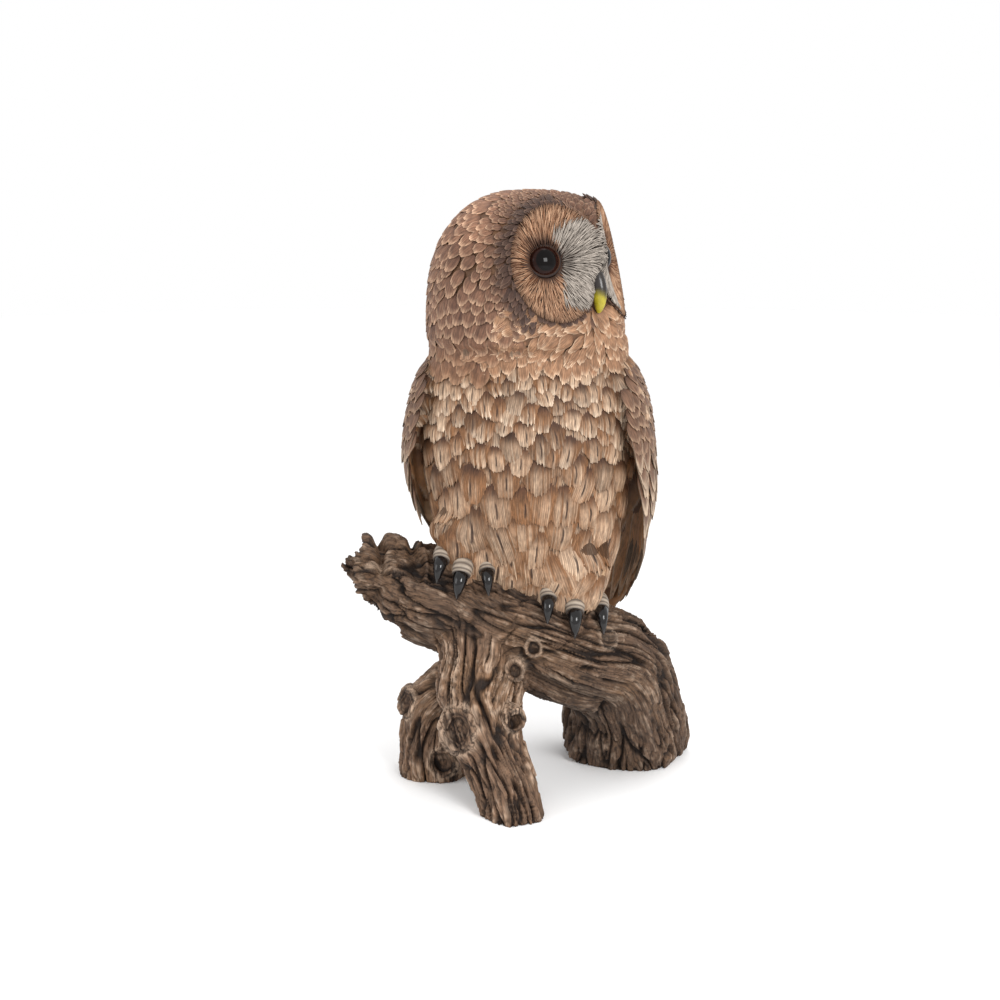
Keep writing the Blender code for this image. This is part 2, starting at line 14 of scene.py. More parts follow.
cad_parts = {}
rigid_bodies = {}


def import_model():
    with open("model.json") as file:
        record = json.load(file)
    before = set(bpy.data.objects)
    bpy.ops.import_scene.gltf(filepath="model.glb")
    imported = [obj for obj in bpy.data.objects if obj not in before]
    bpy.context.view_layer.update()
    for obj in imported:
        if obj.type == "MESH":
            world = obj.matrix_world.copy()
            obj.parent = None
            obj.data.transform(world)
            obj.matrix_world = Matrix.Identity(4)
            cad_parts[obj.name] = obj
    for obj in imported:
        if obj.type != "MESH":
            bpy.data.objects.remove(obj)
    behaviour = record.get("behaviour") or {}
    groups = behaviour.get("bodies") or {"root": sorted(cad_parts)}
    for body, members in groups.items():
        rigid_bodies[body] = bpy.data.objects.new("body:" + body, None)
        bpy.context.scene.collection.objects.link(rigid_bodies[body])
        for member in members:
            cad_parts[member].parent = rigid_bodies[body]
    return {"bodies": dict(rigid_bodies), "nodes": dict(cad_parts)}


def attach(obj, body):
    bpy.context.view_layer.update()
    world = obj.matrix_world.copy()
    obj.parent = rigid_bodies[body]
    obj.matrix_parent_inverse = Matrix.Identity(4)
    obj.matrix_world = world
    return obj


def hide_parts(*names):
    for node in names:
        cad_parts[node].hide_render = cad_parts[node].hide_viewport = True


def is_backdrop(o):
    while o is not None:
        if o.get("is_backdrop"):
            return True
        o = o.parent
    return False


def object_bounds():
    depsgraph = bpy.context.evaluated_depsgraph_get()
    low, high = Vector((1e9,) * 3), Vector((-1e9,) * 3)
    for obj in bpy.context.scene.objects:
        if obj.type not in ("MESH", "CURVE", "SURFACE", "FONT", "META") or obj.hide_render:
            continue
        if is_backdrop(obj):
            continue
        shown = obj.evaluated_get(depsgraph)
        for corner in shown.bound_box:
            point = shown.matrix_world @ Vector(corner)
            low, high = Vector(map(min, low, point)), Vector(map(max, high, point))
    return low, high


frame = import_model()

CAD_BOX = [list(corner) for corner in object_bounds()]
RNG = np.random.default_rng(11)

# Frame and forms, as the solids have them
TURN, SHIFT = math.radians(-50), np.array((-26.4, -3.4, 0.0))
BODY_X, BODY_Y, BODY_TURN = 15.0, 12.0, math.radians(-7)
HEAD_X, HEAD_Y, HEAD_Z, HEAD_TURN = 13.2, 7.5, 250.0, math.radians(50)
HEAD_RADIUS, CROWN_HEIGHT, CROWN_POWER = 51.5, 65.0, 2.38
DISC_CENTRE, DISC_FACING = np.array((37.5, 21.9, 30.0)), np.array((0.84, 0.50, 0.20))
DISC_FACING /= np.linalg.norm(DISC_FACING)
DISC_ACROSS = np.cross((0, 0, 1), DISC_FACING)
DISC_ACROSS /= np.linalg.norm(DISC_ACROSS)
DISC_RISE = np.cross(DISC_FACING, DISC_ACROSS)
DISC_WIDE, DISC_TALL, RIDGE, BILL_HOLLOW = 22.0, 28.0, 49.5, 6.5
EYE_CENTRE, EYE_RADIUS = np.array((28.2, 22.2, 29.9)), 9.2
BEAK_LINE = ((36.5, 27.5, 3.0, 4.0), (42.6, 23.7, 3.6, 4.7), (46.0, 17.0, 4.0, 4.6),
             (47.3, 11.2, 3.2, 3.5), (47.2, 6.6, 1.9, 2.2), (46.8, 4.2, 0.6, 0.7))
TRUNK = ((88, 30, 6, 26), (98, 39, 13, 32), (110, 44, 21, 37), (125, 48.5, 32, 41), (142, 51.5, 41, 44),
         (158, 54, 45, 46), (174, 56.5, 47, 47), (190, 57.2, 47, 46), (202, 56.5, 46, 45),
         (214, 54, 45.5, 43.5), (226, 52.3, 46.5, 42), (238, 51.8, 49, 42))
WING = ((230, 52.5, 44, 80, 100, 1.4), (222, 57.5, 47, 68, 130, 6), (211, 62, 50, 64, 148, 9),
        (197, 65.5, 52, 66, 160, 10), (182, 67.3, 53.5, 69, 166, 10), (165, 67, 54.5, 72, 167, 9),
        (150, 64.5, 55, 77, 167, 7.5), (135, 59.5, 55, 86, 167, 6.5), (120, 56, 54.5, 96, 166, 5.5),
        (105, 50, 54, 107, 164, 4.8), (92, 44, 54, 119, 161, 4), (82, 38, 54, 133, 156, 2.4))
TAIL = ((134, 21, 40, 3.0), (118, 23, 42, 4.4), (100, 23.5, 43.5, 4.8), (82, 23, 46, 4.4),
        (66, 20, 51, 3.6), (57, 14, 54, 2.4))
SWAY, SWAY_FROM = 9.0, 175.0
BRANCH = ((-86, 0.5, 114.5, 14, 19), (-66, 1.5, 110.5, 18, 22.5), (-45, 2, 104.5, 22, 25),
          (-20, 0, 96, 24, 26), (10, -5, 84, 24, 28), (37, -6, 73, 25, 28), (58, 5, 63.5, 26.5, 30),
          (67.5, 19, 43, 28.5, 30), (70.5, 34.5, 19, 33, 32.5), (72, 43.5, 3, 31.5, 33.5),
          (72, 46, -7, 28, 30))
FRONT_LEG = ((-10, -4, 90, 23.6, 20), (-8, -14, 71, 25, 20), (-10.5, -26, 50, 21, 19),
             (-5.3, -38, 27, 17, 17), (3.3, -50, 4, 15.6, 16.5), (5, -54, -6, 16.3, 17))
LEFT_LEG = ((-8, -8, 66, 15, 15), (-22, -2, 54, 16, 14), (-33.5, 6, 40, 17.5, 15.5),
            (-37.5, 9.5, 22, 17.8, 17.5), (-36.5, 9.5, 4, 19.8, 19.5), (-36.5, 9.5, -6, 20, 20))
KNOTS = (((-20, -42, 42), (-0.42, -0.86, 0.22), 10.5), ((5.0, -39, 47), (0.5, -0.86, 0.0), 5.7),
         ((17, -28, 82), (0.1, -0.95, 0.1), 4.2), ((8, -32, 71), (-0.1, -0.97, -0.05), 4.6),
         ((55, -19, 82), (0.3, -0.7, 0.65), 5.0), ((-48.5, 1, 42), (-0.8, -0.58, 0.15), 7.5),
         ((-31, -5, 11), (-0.15, -0.97, 0.1), 7.5))
FEET = {"right": ((-28.0, -3.0, 0.92, 9), (-17.5, -3.0, 1.0, 0), (-7.5, 1.0, 0.9, 12)),
        "left": ((26.0, -1.0, 0.9, 11), (39.0, -0.3, 1.0, 6), (51.5, 1.5, 0.9, 15))}

# Paint, in linear light
HEAD_DARK, HEAD_MID, HEAD_EDGE = (0.07, 0.028, 0.016), (0.215, 0.110, 0.066), (0.58, 0.37, 0.24)
BREAST_DARK, BREAST_TAN, BREAST_CREAM = (0.050, 0.018, 0.008), (0.235, 0.108, 0.044), (0.70, 0.51, 0.355)
WING_DARK, WING_MID, WING_EDGE = (0.075, 0.034, 0.019), (0.195, 0.106, 0.064), (0.42, 0.275, 0.18)
WING_INNER, WING_CREAM = (0.52, 0.265, 0.125), (0.60, 0.455, 0.325)
DISC_DARK, DISC_ORANGE, DISC_LIGHT = (0.028, 0.010, 0.005), (0.17, 0.070, 0.030), (0.64, 0.395, 0.245)
LORE_DARK, LORE_LIGHT = (0.07, 0.054, 0.043), (0.50, 0.44, 0.38)
RIM_DARK, RIM_LIGHT = (0.060, 0.029, 0.018), (0.19, 0.115, 0.080)
WOOD_DARK, WOOD_MID, WOOD_LIGHT = (0.008, 0.0035, 0.0018), (0.104, 0.060, 0.036), (0.32, 0.23, 0.165)
WOOD_WARM = (0.125, 0.068, 0.034)


# ---------------------------------------------------------------- numbers and noise

def spun(points, angle):
    """Points turned about the upright axis."""
    c, s = math.cos(angle), math.sin(angle)
    x, y = points[..., 0], points[..., 1]
    return np.stack([x * c - y * s, x * s + y * c, points[..., 2]], -1)


def world(points):
    return (spun(np.asarray(points, float), TURN) + SHIFT) * 0.001


def perch(points):
    return spun(np.asarray(points, float) * 1000 - SHIFT, -TURN)


def unit(v):
    v = np.asarray(v, float)
    return v / np.maximum(np.linalg.norm(v, axis=-1, keepdims=True), 1e-9)


def mix(a, b, share):
    share = np.clip(share, 0, 1)[..., None]
    return np.asarray(a) * (1 - share) + np.asarray(b) * share


def step(low, high, x):
    t = np.clip((x - low) / (high - low), 0, 1)
    return t * t * (3 - 2 * t)


def circle(count):
    return np.linspace(0, 2 * math.pi, count, endpoint=False)


def bell(*terms, power=2):
    """A hump of 1 where every value is at its middle; each term is a value, its middle and its width."""
    return np.exp(-sum(((value - middle) / wide) ** power for value, middle, wide in terms))


def washed(colour, *layers):
    """Colours with layers laid over them; each layer is a colour and how much of it there is."""
    for paint, share in layers:
        colour = mix(colour, paint, share)
    return colour


PERM = np.random.default_rng(3).permutation(256)
GRADS = unit(np.random.default_rng(4).normal(size=(256, 3)))


def noise(points, *scale):
    """Smooth gradient noise of about -1 to 1; scale gives the size of its lumps along x, y and z."""
    p = np.asarray(points, float) / np.array(scale if len(scale) > 1 else scale * 3)
    shape, p = p.shape[:-1], p.reshape(-1, 3)
    cell = np.floor(p).astype(np.int64)
    f = p - cell
    w = f ** 3 * (f * (f * 6 - 15) + 10)
    total = np.zeros(len(p))
    for dx in (0, 1):
        for dy in (0, 1):
            for dz in (0, 1):
                h = PERM[(cell[:, 0] + dx) & 255]
                h = PERM[(h + cell[:, 1] + dy) & 255]
                g = GRADS[PERM[(h + cell[:, 2] + dz) & 255]]
                dot = g[:, 0] * (f[:, 0] - dx) + g[:, 1] * (f[:, 1] - dy) + g[:, 2] * (f[:, 2] - dz)
                total += dot * ((w[:, 0] if dx else 1 - w[:, 0]) * (w[:, 1] if dy else 1 - w[:, 1])
                                * (w[:, 2] if dz else 1 - w[:, 2]))
    return (total * 1.7).reshape(shape)


def smooth_rows(rows, shares):
    """Values read at these shares of a smooth curve through the rows (Catmull-Rom)."""
    rows = np.asarray(rows, float)
    padded = np.vstack([2 * rows[0] - rows[1], rows, 2 * rows[-1] - rows[-2]])
    at = np.clip(np.asarray(shares, float), 0, 1) * (len(rows) - 1)
    index = np.minimum(at.astype(int), len(rows) - 2)
    t = (at - index)[..., None]
    a, b, c, d = (padded[index + k] for k in range(4))
    return 0.5 * (2 * b + (c - a) * t + (2 * a - 5 * b + 4 * c - d) * t ** 2
                  + (3 * b - a - 3 * c + d) * t ** 3)


def rows_at(rows, heights):
    """Smooth values of a table of rows, whose first column is a height, at these heights."""
    rows = np.array(sorted(rows), float)
    heights = np.clip(heights, rows[0, 0], rows[-1, 0])
    found = smooth_rows(rows, np.interp(heights, rows[:, 0], np.linspace(0, 1, len(rows))))
    return [found[..., k] for k in range(1, rows.shape[1])]


def tube_frame(stations, count):
    """Centres, radii and the two directions across, along a smooth line through stations."""
    at = np.linspace(0, 1, count)
    rows = smooth_rows(stations, at)
    along = unit(smooth_rows(stations, at + 0.002)[:, :3] - smooth_rows(stations, at - 0.002)[:, :3])
    side = unit(np.cross(along[0], (0, 0, 1)) + np.array((1e-6, 0, 0)))
    sides = []
    for way in along:
        side = unit(side - way * side.dot(way))
        sides.append(side)
    sides = np.array(sides)
    return rows, along, sides, np.cross(sides, along)


# ---------------------------------------------------------------- the owl's surfaces

def to_head(forward, right, up):
    """Perch-frame points of ones given in the head's own directions."""
    s, c = math.sin(HEAD_TURN), math.cos(HEAD_TURN)
    return np.stack([HEAD_X + forward * s - right * c, HEAD_Y - forward * c - right * s,
                     HEAD_Z + up + 0 * right], -1)


def in_head(p):
    s, c = math.sin(HEAD_TURN), math.cos(HEAD_TURN)
    x, y = p[..., 0] - HEAD_X, p[..., 1] - HEAD_Y
    return x * s - y * c, -x * c - y * s, p[..., 2] - HEAD_Z


def head_way(forward, right, up):
    return to_head(forward, right, up) - to_head(0.0, 0.0, 0.0)


def head_radius(angles, up):
    """Reach of the head from its axis: the dome, with two dished discs, their ruff and the chin."""
    rise = np.clip(up / CROWN_HEIGHT, 0, 1)
    dome = HEAD_RADIUS * (1 - rise ** CROWN_POWER) ** (1 / CROWN_POWER) + 0 * angles
    centre, facing = DISC_CENTRE, DISC_FACING
    forward, right = np.cos(angles), np.abs(np.sin(angles))
    plane = (facing @ centre - facing[2] * up) / np.maximum(facing[0] * forward + facing[1] * right, 0.25)
    ridge = RIDGE / np.maximum(forward, 0.3)
    plane = np.where(plane > ridge - 3, ridge - 3 * np.exp(-(plane - ridge + 3) / 3), plane)
    away = np.stack([plane * forward, plane * right, up + 0 * angles], -1) - centre
    reach = np.sqrt((away @ DISC_ACROSS / DISC_WIDE) ** 2 + (away @ DISC_RISE / DISC_TALL) ** 2)
    on_face = np.clip((1.42 - reach) / 0.42, 0, 1) * (forward > 0.1)
    aside = np.clip((plane * right - 3) / 10, 0, 1)
    shape = dome + on_face ** 1.5 * (plane - dome)
    shape -= 3.0 * np.clip(1 - reach ** 2, 0, 1) * on_face
    shape += (1.2 * bell((reach, 1.05, 0.12)) * aside + 1.2 * (1 - aside)) * on_face
    chin = 1.6 * bell((dome * np.sin(angles), 0, 20), (up, 0, 6)) * (forward > 0)
    hollow = np.clip((up + 8) / 9, 0, 1) * np.clip((31 - up) / 12, 0, 1)
    return shape + chin - BILL_HOLLOW * hollow * bell((shape * np.sin(angles), 0, 8)) * (forward > 0)


def turned(points):
    s, c = math.sin(BODY_TURN), math.cos(BODY_TURN)
    x, y = points[..., 0], points[..., 1]
    return np.stack([BODY_X + x * c - y * s, BODY_Y + x * s + y * c, points[..., 2]], -1)


def in_body(p):
    s, c = math.sin(BODY_TURN), math.cos(BODY_TURN)
    x, y = p[..., 0] - BODY_X, p[..., 1] - BODY_Y
    return x * c + y * s, -x * s + y * c


def body_turn(points):
    """Places in the body's own directions, and degrees round it from the breast."""
    x, y = in_body(points)
    return x, y, np.degrees(np.abs(np.arctan2(x, -y)))


def box_reach(turn, half, front, back, power):
    deep = np.where(np.cos(turn) > 0, front, back)
    return (np.abs(np.sin(turn) / half) ** power + np.abs(np.cos(turn) / deep) ** power) ** (-1 / power)


def sway(heights):
    return SWAY * np.clip((SWAY_FROM - heights) / 70, 0, 1.2)


def swayed(x, y, z):
    """Points from the body's own directions, moved aside as the wings and tail are."""
    out = turned(np.stack([x, y, z + 0 * x], -1))
    out[..., 0] += sway(z)
    return out


def unswayed(points):
    z = points[..., 2]
    return (*in_body(points - np.stack([sway(z), 0 * z, 0 * z], -1)), z)


def round_body(turn, reach, z):
    return swayed(np.sin(turn) * reach, -np.cos(turn) * reach, z)


def on_branch(x, lean, height):
    rows = smooth_rows(BRANCH, np.linspace(0, 0.7, 141))
    row = rows[np.argmin(np.abs(rows[:, 0] - x))]
    reach = row[4] + height
    return np.array((x, row[1] - reach * math.sin(lean), row[2] + reach * math.cos(lean)))


AXIS = np.array((14.3, 10.0, 250.0))   # the shell is read along rays from this upright axis
PHI, LEVELS = 240, 192                 # the rays' angles, and their heights from LOW to HIGH
LOW, HIGH, FAR = -168.0, 80.9, 140.0


def ray_of(phi, w):
    """Start and direction of the ray at an angle and a height along the shell."""
    tilt = np.maximum(w, 0) / HEAD_RADIUS
    start = np.stack([AXIS[0] + 0 * w, AXIS[1] + 0 * w, AXIS[2] + np.minimum(w, 0)], -1)
    return start, np.stack([np.cos(phi) * np.cos(tilt), np.sin(phi) * np.cos(tilt), np.sin(tilt)], -1)


def ring_faces(rings, around, closed=False):
    """Square faces between rings of points; closed joins the last ring to the first."""
    i, j = np.meshgrid(np.arange(rings if closed else rings - 1), np.arange(around), indexing="ij")
    k, after = (j + 1) % around, (i + 1) % rings
    return np.stack([i * around + j, i * around + k, after * around + k, after * around + j],
                    -1).reshape(-1, 4)


def owl_shell(winged=False):
    """Reach of head, neck, trunk and thighs, or the wings too, along every ray of the shell's grid."""
    turn = circle(120)
    body, head = [], []
    for z in np.linspace(80, 239, 70):
        half, front, back = rows_at(TRUNK, z)
        reach = box_reach(turn, half, front, back, 2.2)
        body.append(turned(np.stack([np.sin(turn) * reach, -np.cos(turn) * reach, z + 0 * turn], -1)))
    angles = np.linspace(-math.pi, math.pi, 240, endpoint=False)
    for up in np.concatenate([np.linspace(-12, 45, 60), 45 + 20 * np.sin(np.linspace(0.02, 1.55, 30))]):
        reach = head_radius(angles, min(up, CROWN_HEIGHT - 0.01))
        head.append(to_head(reach * np.cos(angles), reach * np.sin(angles), up))
    parts = [np.array(body), np.array(head)]
    lift, at = np.linspace(-0.995, 0.995, 24)[:, None], circle(40)
    flat = np.sqrt(1 - lift ** 2)
    for x, height in ((-16.0, 8.5), (37.0, 8.0)):
        centre = on_branch(x, math.radians(12), 12.0) + np.array((0, -1.0, height))
        parts.append(np.stack([centre[0] + 21 * flat * np.cos(at), centre[1] + 12.5 * flat * np.sin(at),
                               centre[2] + 14.5 * lift + 0 * at], -1))
    faces = [ring_faces(*part.shape[:2]) for part in parts]
    for side in (1, -1) if winged else ():
        parts.append(along_wing(side, np.linspace(0.02, 0.98, 40), np.linspace(160, 229, 50)[:, None]))
        cells = ring_faces(50, 40)
        faces.append(cells[cells[:, 0] % 40 < 39])
    starts = np.cumsum([0] + [part.shape[0] * part.shape[1] for part in parts])
    points = np.concatenate([part.reshape(-1, 3) for part in parts])
    faces = np.concatenate([cells + start for cells, start in zip(faces, starts)])
    tree = BVHTree.FromPolygons([tuple(p) for p in points], [tuple(int(v) for v in f) for f in faces])
    phi, w = np.meshgrid(circle(PHI), np.linspace(LOW, HIGH, LEVELS),
                         indexing="ij")
    starts, ways = ray_of(phi, w)
    reach = np.full(phi.shape, np.nan)
    for index in np.ndindex(phi.shape):
        start, way = starts[index], ways[index]
        hit = tree.ray_cast(Vector(start + way * FAR), Vector(-way))
        if hit[0] is not None:
            reach[index] = FAR - hit[3]
    for row in range(LEVELS - 1, -1, -1):
        bad = np.isnan(reach[:, row])
        if bad.any():
            fill = reach[:, row + 1] if row + 1 < LEVELS else np.full(PHI, np.nanmean(reach[:, row - 1]))
            reach[bad, row] = fill[bad]
    drop = (HIGH - LOW) / (LEVELS - 1)
    for row in range(LEVELS - 2, -1, -1):      # the hem hangs straight rather than tucking under
        if LOW + row * drop < -118:
            reach[:, row] = np.maximum(reach[:, row], reach[:, row + 1] - 0.32 * drop)
    for _ in range(2):
        reach = (np.roll(reach, 1, 0) + 2 * reach + np.roll(reach, -1, 0)) / 4
        padded = np.pad(reach, ((0, 0), (1, 1)), mode="edge")
        reach = (padded[:, :-2] + 2 * reach + padded[:, 2:]) / 4
    return reach


def shell_at(points):
    """Angle and height along the shell of points near it."""
    rel = np.asarray(points, float) - AXIS
    flat = np.hypot(rel[..., 0], rel[..., 1])
    up = rel[..., 2]
    return np.arctan2(rel[..., 1], rel[..., 0]), np.where(up < 0, up, HEAD_RADIUS * np.arctan2(up, flat))


def reach_at(phi, w, grid=None):
    grid = SHELL if grid is None else grid
    i = (phi / (2 * math.pi) % 1) * PHI
    j = np.clip((w - LOW) / (HIGH - LOW) * (LEVELS - 1), 0, LEVELS - 1.001)
    i0, j0 = i.astype(int), j.astype(int)
    fi, fj = i - i0, j - j0
    i0, i1 = i0 % PHI, (i0 + 1) % PHI
    return ((grid[i0, j0] * (1 - fi) + grid[i1, j0] * fi) * (1 - fj)
            + (grid[i0, j0 + 1] * (1 - fi) + grid[i1, j0 + 1] * fi) * fj)


def on_shell(points, height=0.0, grid=None):
    """Points moved to a height over the owl's body, along rays from its axis."""
    phi, w = shell_at(points)
    start, way = ray_of(phi, w)
    start[..., 2] = np.where(w < 0, np.asarray(points)[..., 2], start[..., 2])
    return start + way * (reach_at(phi, w, grid) + height)[..., None]


def on_mantle(points, height=0.0):
    return on_shell(points, height, MANTLE)


NEAR_WING = 55.0       # a reach from the body's axis from which on_wing finds the wing


def on_wing(side, inside=False):
    def place(points, height=0.0):
        x, y, z = unswayed(points)
        turn = np.arctan2(x * side, -y)
        half, back, start, end, thick = rows_at(WING, z)
        share = np.clip((np.degrees(turn) - start) / (end - start), 0.03, 0.97)
        slim = thick * np.sin(math.pi * share) ** 0.4
        shell = box_reach(turn, half, back, back, 2.5)
        return round_body(turn * side,
                          shell - slim - height if inside else shell - 0.35 * (thick - slim) + height, z)
    return place


def along_wing(side, share, z):
    """Points on a wing, at this share of the way from its front edge to its back one."""
    _, _, start, end, _ = rows_at(WING, z)
    return on_wing(side)(round_body(np.radians(start + (end - start) * share) * side, NEAR_WING, z))


def on_tail(outside):
    def place(points, height=0.0):
        x, _, z = unswayed(points)
        half, y, thick = rows_at(TAIL, z)
        lift = (thick * np.sqrt(np.clip(1 - (x / half) ** 2, 0.05, 1)) + height) * (1 if outside else -1)
        return swayed(x, y - 0.006 * x ** 2 + lift, z)
    return place


SHELL, MANTLE = owl_shell(), owl_shell(True)


def on_disc(a, b):
    """Places in the head's directions of ones across and up the right disc's face."""
    return DISC_CENTRE + a[:, None] * DISC_ACROSS + b[:, None] * DISC_RISE


def oval(a, b):
    return np.hypot(a / DISC_WIDE, b / DISC_TALL)


def disc_place(p):
    """Across and up a facial disc's face, from its centre, and the oval's share that gives."""
    forward, right, up = in_head(p)
    away = np.stack([forward, np.abs(right), up], -1) - DISC_CENTRE
    a, b = away @ DISC_ACROSS, away @ DISC_RISE
    reach = np.sqrt((a / DISC_WIDE) ** 2 + (b / DISC_TALL) ** 2)
    return a, b, np.where(forward > 5, reach, 9.0)


def normals(place, points):
    """Directions square to a surface, read from it a little way off each point."""
    out = unit(np.stack([points[..., 0] - AXIS[0], points[..., 1] - AXIS[1],
                         np.maximum(points[..., 2] - AXIS[2], 0)], -1))
    side = unit(np.cross(out, (0, 0.01, 1.0)))
    rise = np.cross(side, out)
    a = place(points + side * 0.8) - place(points - side * 0.8)
    b = place(points + rise * 0.8) - place(points - rise * 0.8)
    n = unit(np.cross(a, b))
    return n * np.sign(np.sum(n * out, -1, keepdims=True))


def laid(place, roots, ways):
    """Directions along and across a surface for feathers that would lie these ways."""
    n = normals(place, roots)
    ways = unit(ways - n * np.sum(ways * n, -1, keepdims=True))
    return ways, np.cross(n, ways)


# ---------------------------------------------------------------- meshes and paint

def clear_old():
    keep = set(frame["nodes"].values()) | set(frame["bodies"].values())
    for obj in [o for o in bpy.data.objects if o not in keep]:
        bpy.data.objects.remove(obj, do_unlink=True)


def painted(name, roughness, bump=0.12, grain=900.0, coat=0.0, lines=0.0, specular=0.3):
    """Brushed resin paint: the piece's own colours, mottled, with dark lines along its grain."""
    material = bpy.data.materials.new(name)
    material.use_nodes = True
    nodes, links = material.node_tree.nodes, material.node_tree.links
    shader = nodes["Principled BSDF"]

    def node(kind, inputs=(), **settings):
        made = nodes.new("ShaderNode" + kind)
        for key, value in settings.items():
            setattr(made, key, value)
        for socket, value in dict(inputs).items():
            made.inputs[socket].default_value = value
        return made

    def spread(low, high, to_low, to_high):
        return node("MapRange", {"From Min": low, "From Max": high, "To Min": to_low, "To Max": to_high})

    def join(source, output, target, socket):
        links.new(source.outputs[output], target.inputs[socket])

    paint = node("Attribute", attribute_name="paint")
    where = node("TexCoord")
    mottle = node("TexNoise", {"Scale": 260.0, "Detail": 5.0})
    fine = node("TexNoise", {"Scale": grain, "Detail": 3.0})
    patches = spread(0.3, 0.7, 0.82, 1.16)
    tint = node("VectorMath", operation="SCALE")
    relief = node("Bump", {"Strength": bump, "Distance": 0.0006})
    gloss = spread(0.0, 1.0, max(roughness - 0.1, 0.02), min(roughness + 0.1, 1.0))
    join(where, "Object", mottle, "Vector")
    join(where, "Object", fine, "Vector")
    join(mottle, "Fac", patches, "Value")
    join(paint, "Color", tint, 0)
    join(patches, "Result", tint, "Scale")
    if lines:
        lie = node("Attribute", attribute_name="grain")
        hairs = node("TexNoise", {"Scale": 1.0, "Detail": 4.0})
        shade = spread(0.36, 0.62, 1 - lines, 1 + 0.3 * lines)
        lined = node("VectorMath", operation="SCALE")
        both = node("Math", {1: 2.5}, operation="MULTIPLY_ADD")
        join(lie, "Vector", hairs, "Vector")
        join(hairs, "Fac", shade, "Value")
        join(tint, "Vector", lined, 0)
        join(shade, "Result", lined, "Scale")
        join(lined, "Vector", shader, "Base Color")
        join(hairs, "Fac", both, 0)
        join(fine, "Fac", both, 2)
        join(both, "Value", relief, "Height")
    else:
        join(tint, "Vector", shader, "Base Color")
        join(fine, "Fac", relief, "Height")
    join(relief, "Normal", shader, "Normal")
    join(fine, "Fac", gloss, "Value")
    join(gloss, "Result", shader, "Roughness")
    shader.inputs["Specular IOR Level"].default_value = specular
    if coat:
        shader.inputs["Coat Weight"].default_value = coat
        shader.inputs["Coat Roughness"].default_value = 0.04
    return material


def added(name, data):
    obj = bpy.data.objects.new(name, data)
    bpy.context.scene.collection.objects.link(obj)
    return obj


def write(items, key, values, kind=np.float32):
    items.foreach_set(key, np.asarray(values).astype(kind).ravel())


def read(items, key, wide, kind=np.float32, total=None):
    values = np.empty(total or len(items) * wide, kind)
    items.foreach_get(key, values)
    return values.reshape(-1, wide)


def piece(name, points, faces, colours, material, slot, uv=None, replaces=(), grain=None):
    """One mesh from points in millimetres, riding on the model, with its paint on its points."""
    mesh = bpy.data.meshes.new(name)
    sizes = np.concatenate([np.full(len(f), f.shape[1]) for f in faces])
    loops = np.concatenate([f.ravel() for f in faces])
    mesh.vertices.add(len(points))
    write(mesh.vertices, "co", world(points))
    mesh.loops.add(len(loops))
    write(mesh.loops, "vertex_index", loops, np.int32)
    mesh.polygons.add(len(sizes))
    write(mesh.polygons, "loop_start", np.cumsum(sizes) - sizes, np.int32)
    mesh.update(calc_edges=True)
    write(mesh.polygons, "use_smooth", np.ones(len(sizes)), bool)
    paint = mesh.attributes.new("paint", "FLOAT_COLOR", "POINT")
    write(paint.data, "color", np.concatenate([np.clip(colours, 0, 1), np.ones((len(points), 1))], 1))
    if grain is not None:
        write(mesh.attributes.new("grain", "FLOAT_VECTOR", "POINT").data, "vector", grain)
    if uv is not None:
        write(mesh.uv_layers.new(name="OFBake").data, "uv", uv[loops] if len(uv) == len(points) else uv)
    mesh.materials.append(material)
    obj = added(name, mesh)
    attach(obj, "root")
    if replaces:
        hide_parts(*replaces)
    return obj


# ---------------------------------------------------------------- feathers

def scatter(candidates, spacing):
    """Picks points that stand at least their own spacing apart."""
    cell, spacing = 4.0, np.broadcast_to(spacing, len(candidates))
    kept, grid, chosen = [], {}, []
    for index in range(len(candidates)):
        p, gap = candidates[index], spacing[index]
        key = tuple((p // cell).astype(int))
        reach = int(math.ceil(gap / cell))
        steps = range(-reach, reach + 1)
        near = [k for dx in steps for dy in steps for dz in steps
                for k in grid.get((key[0] + dx, key[1] + dy, key[2] + dz), ())]
        if near and np.min(np.sum((np.array([kept[k] for k in near]) - p) ** 2, 1)) < gap * gap:
            continue
        grid.setdefault(key, []).append(len(kept))
        kept.append(p)
        chosen.append(index)
    return np.array(chosen)


def spaced(points, gap):
    chosen = scatter(points, gap)
    return points[chosen], gap[chosen]


def shell_uv(points):
    """Place on the unwrap of the owl's skin: once round its axis, and from the hem to the crown."""
    phi, w = shell_at(points)
    return np.stack([(phi / (2 * math.pi) + 0.37) % 1, (w - LOW) / (HIGH - LOW)], -1)


def bundle(points, faces, colours, uv, grain):
    """Many feathers of one form as one list of points, and its square and three-sided faces."""
    base = (np.arange(len(points)) * points.shape[1])[:, None, None]
    return (points.reshape(-1, 3), [(f[None] + base).reshape(-1, f.shape[1]) for f in faces],
            colours.reshape(-1, 3), uv.reshape(-1, 2), grain.reshape(-1, 3))


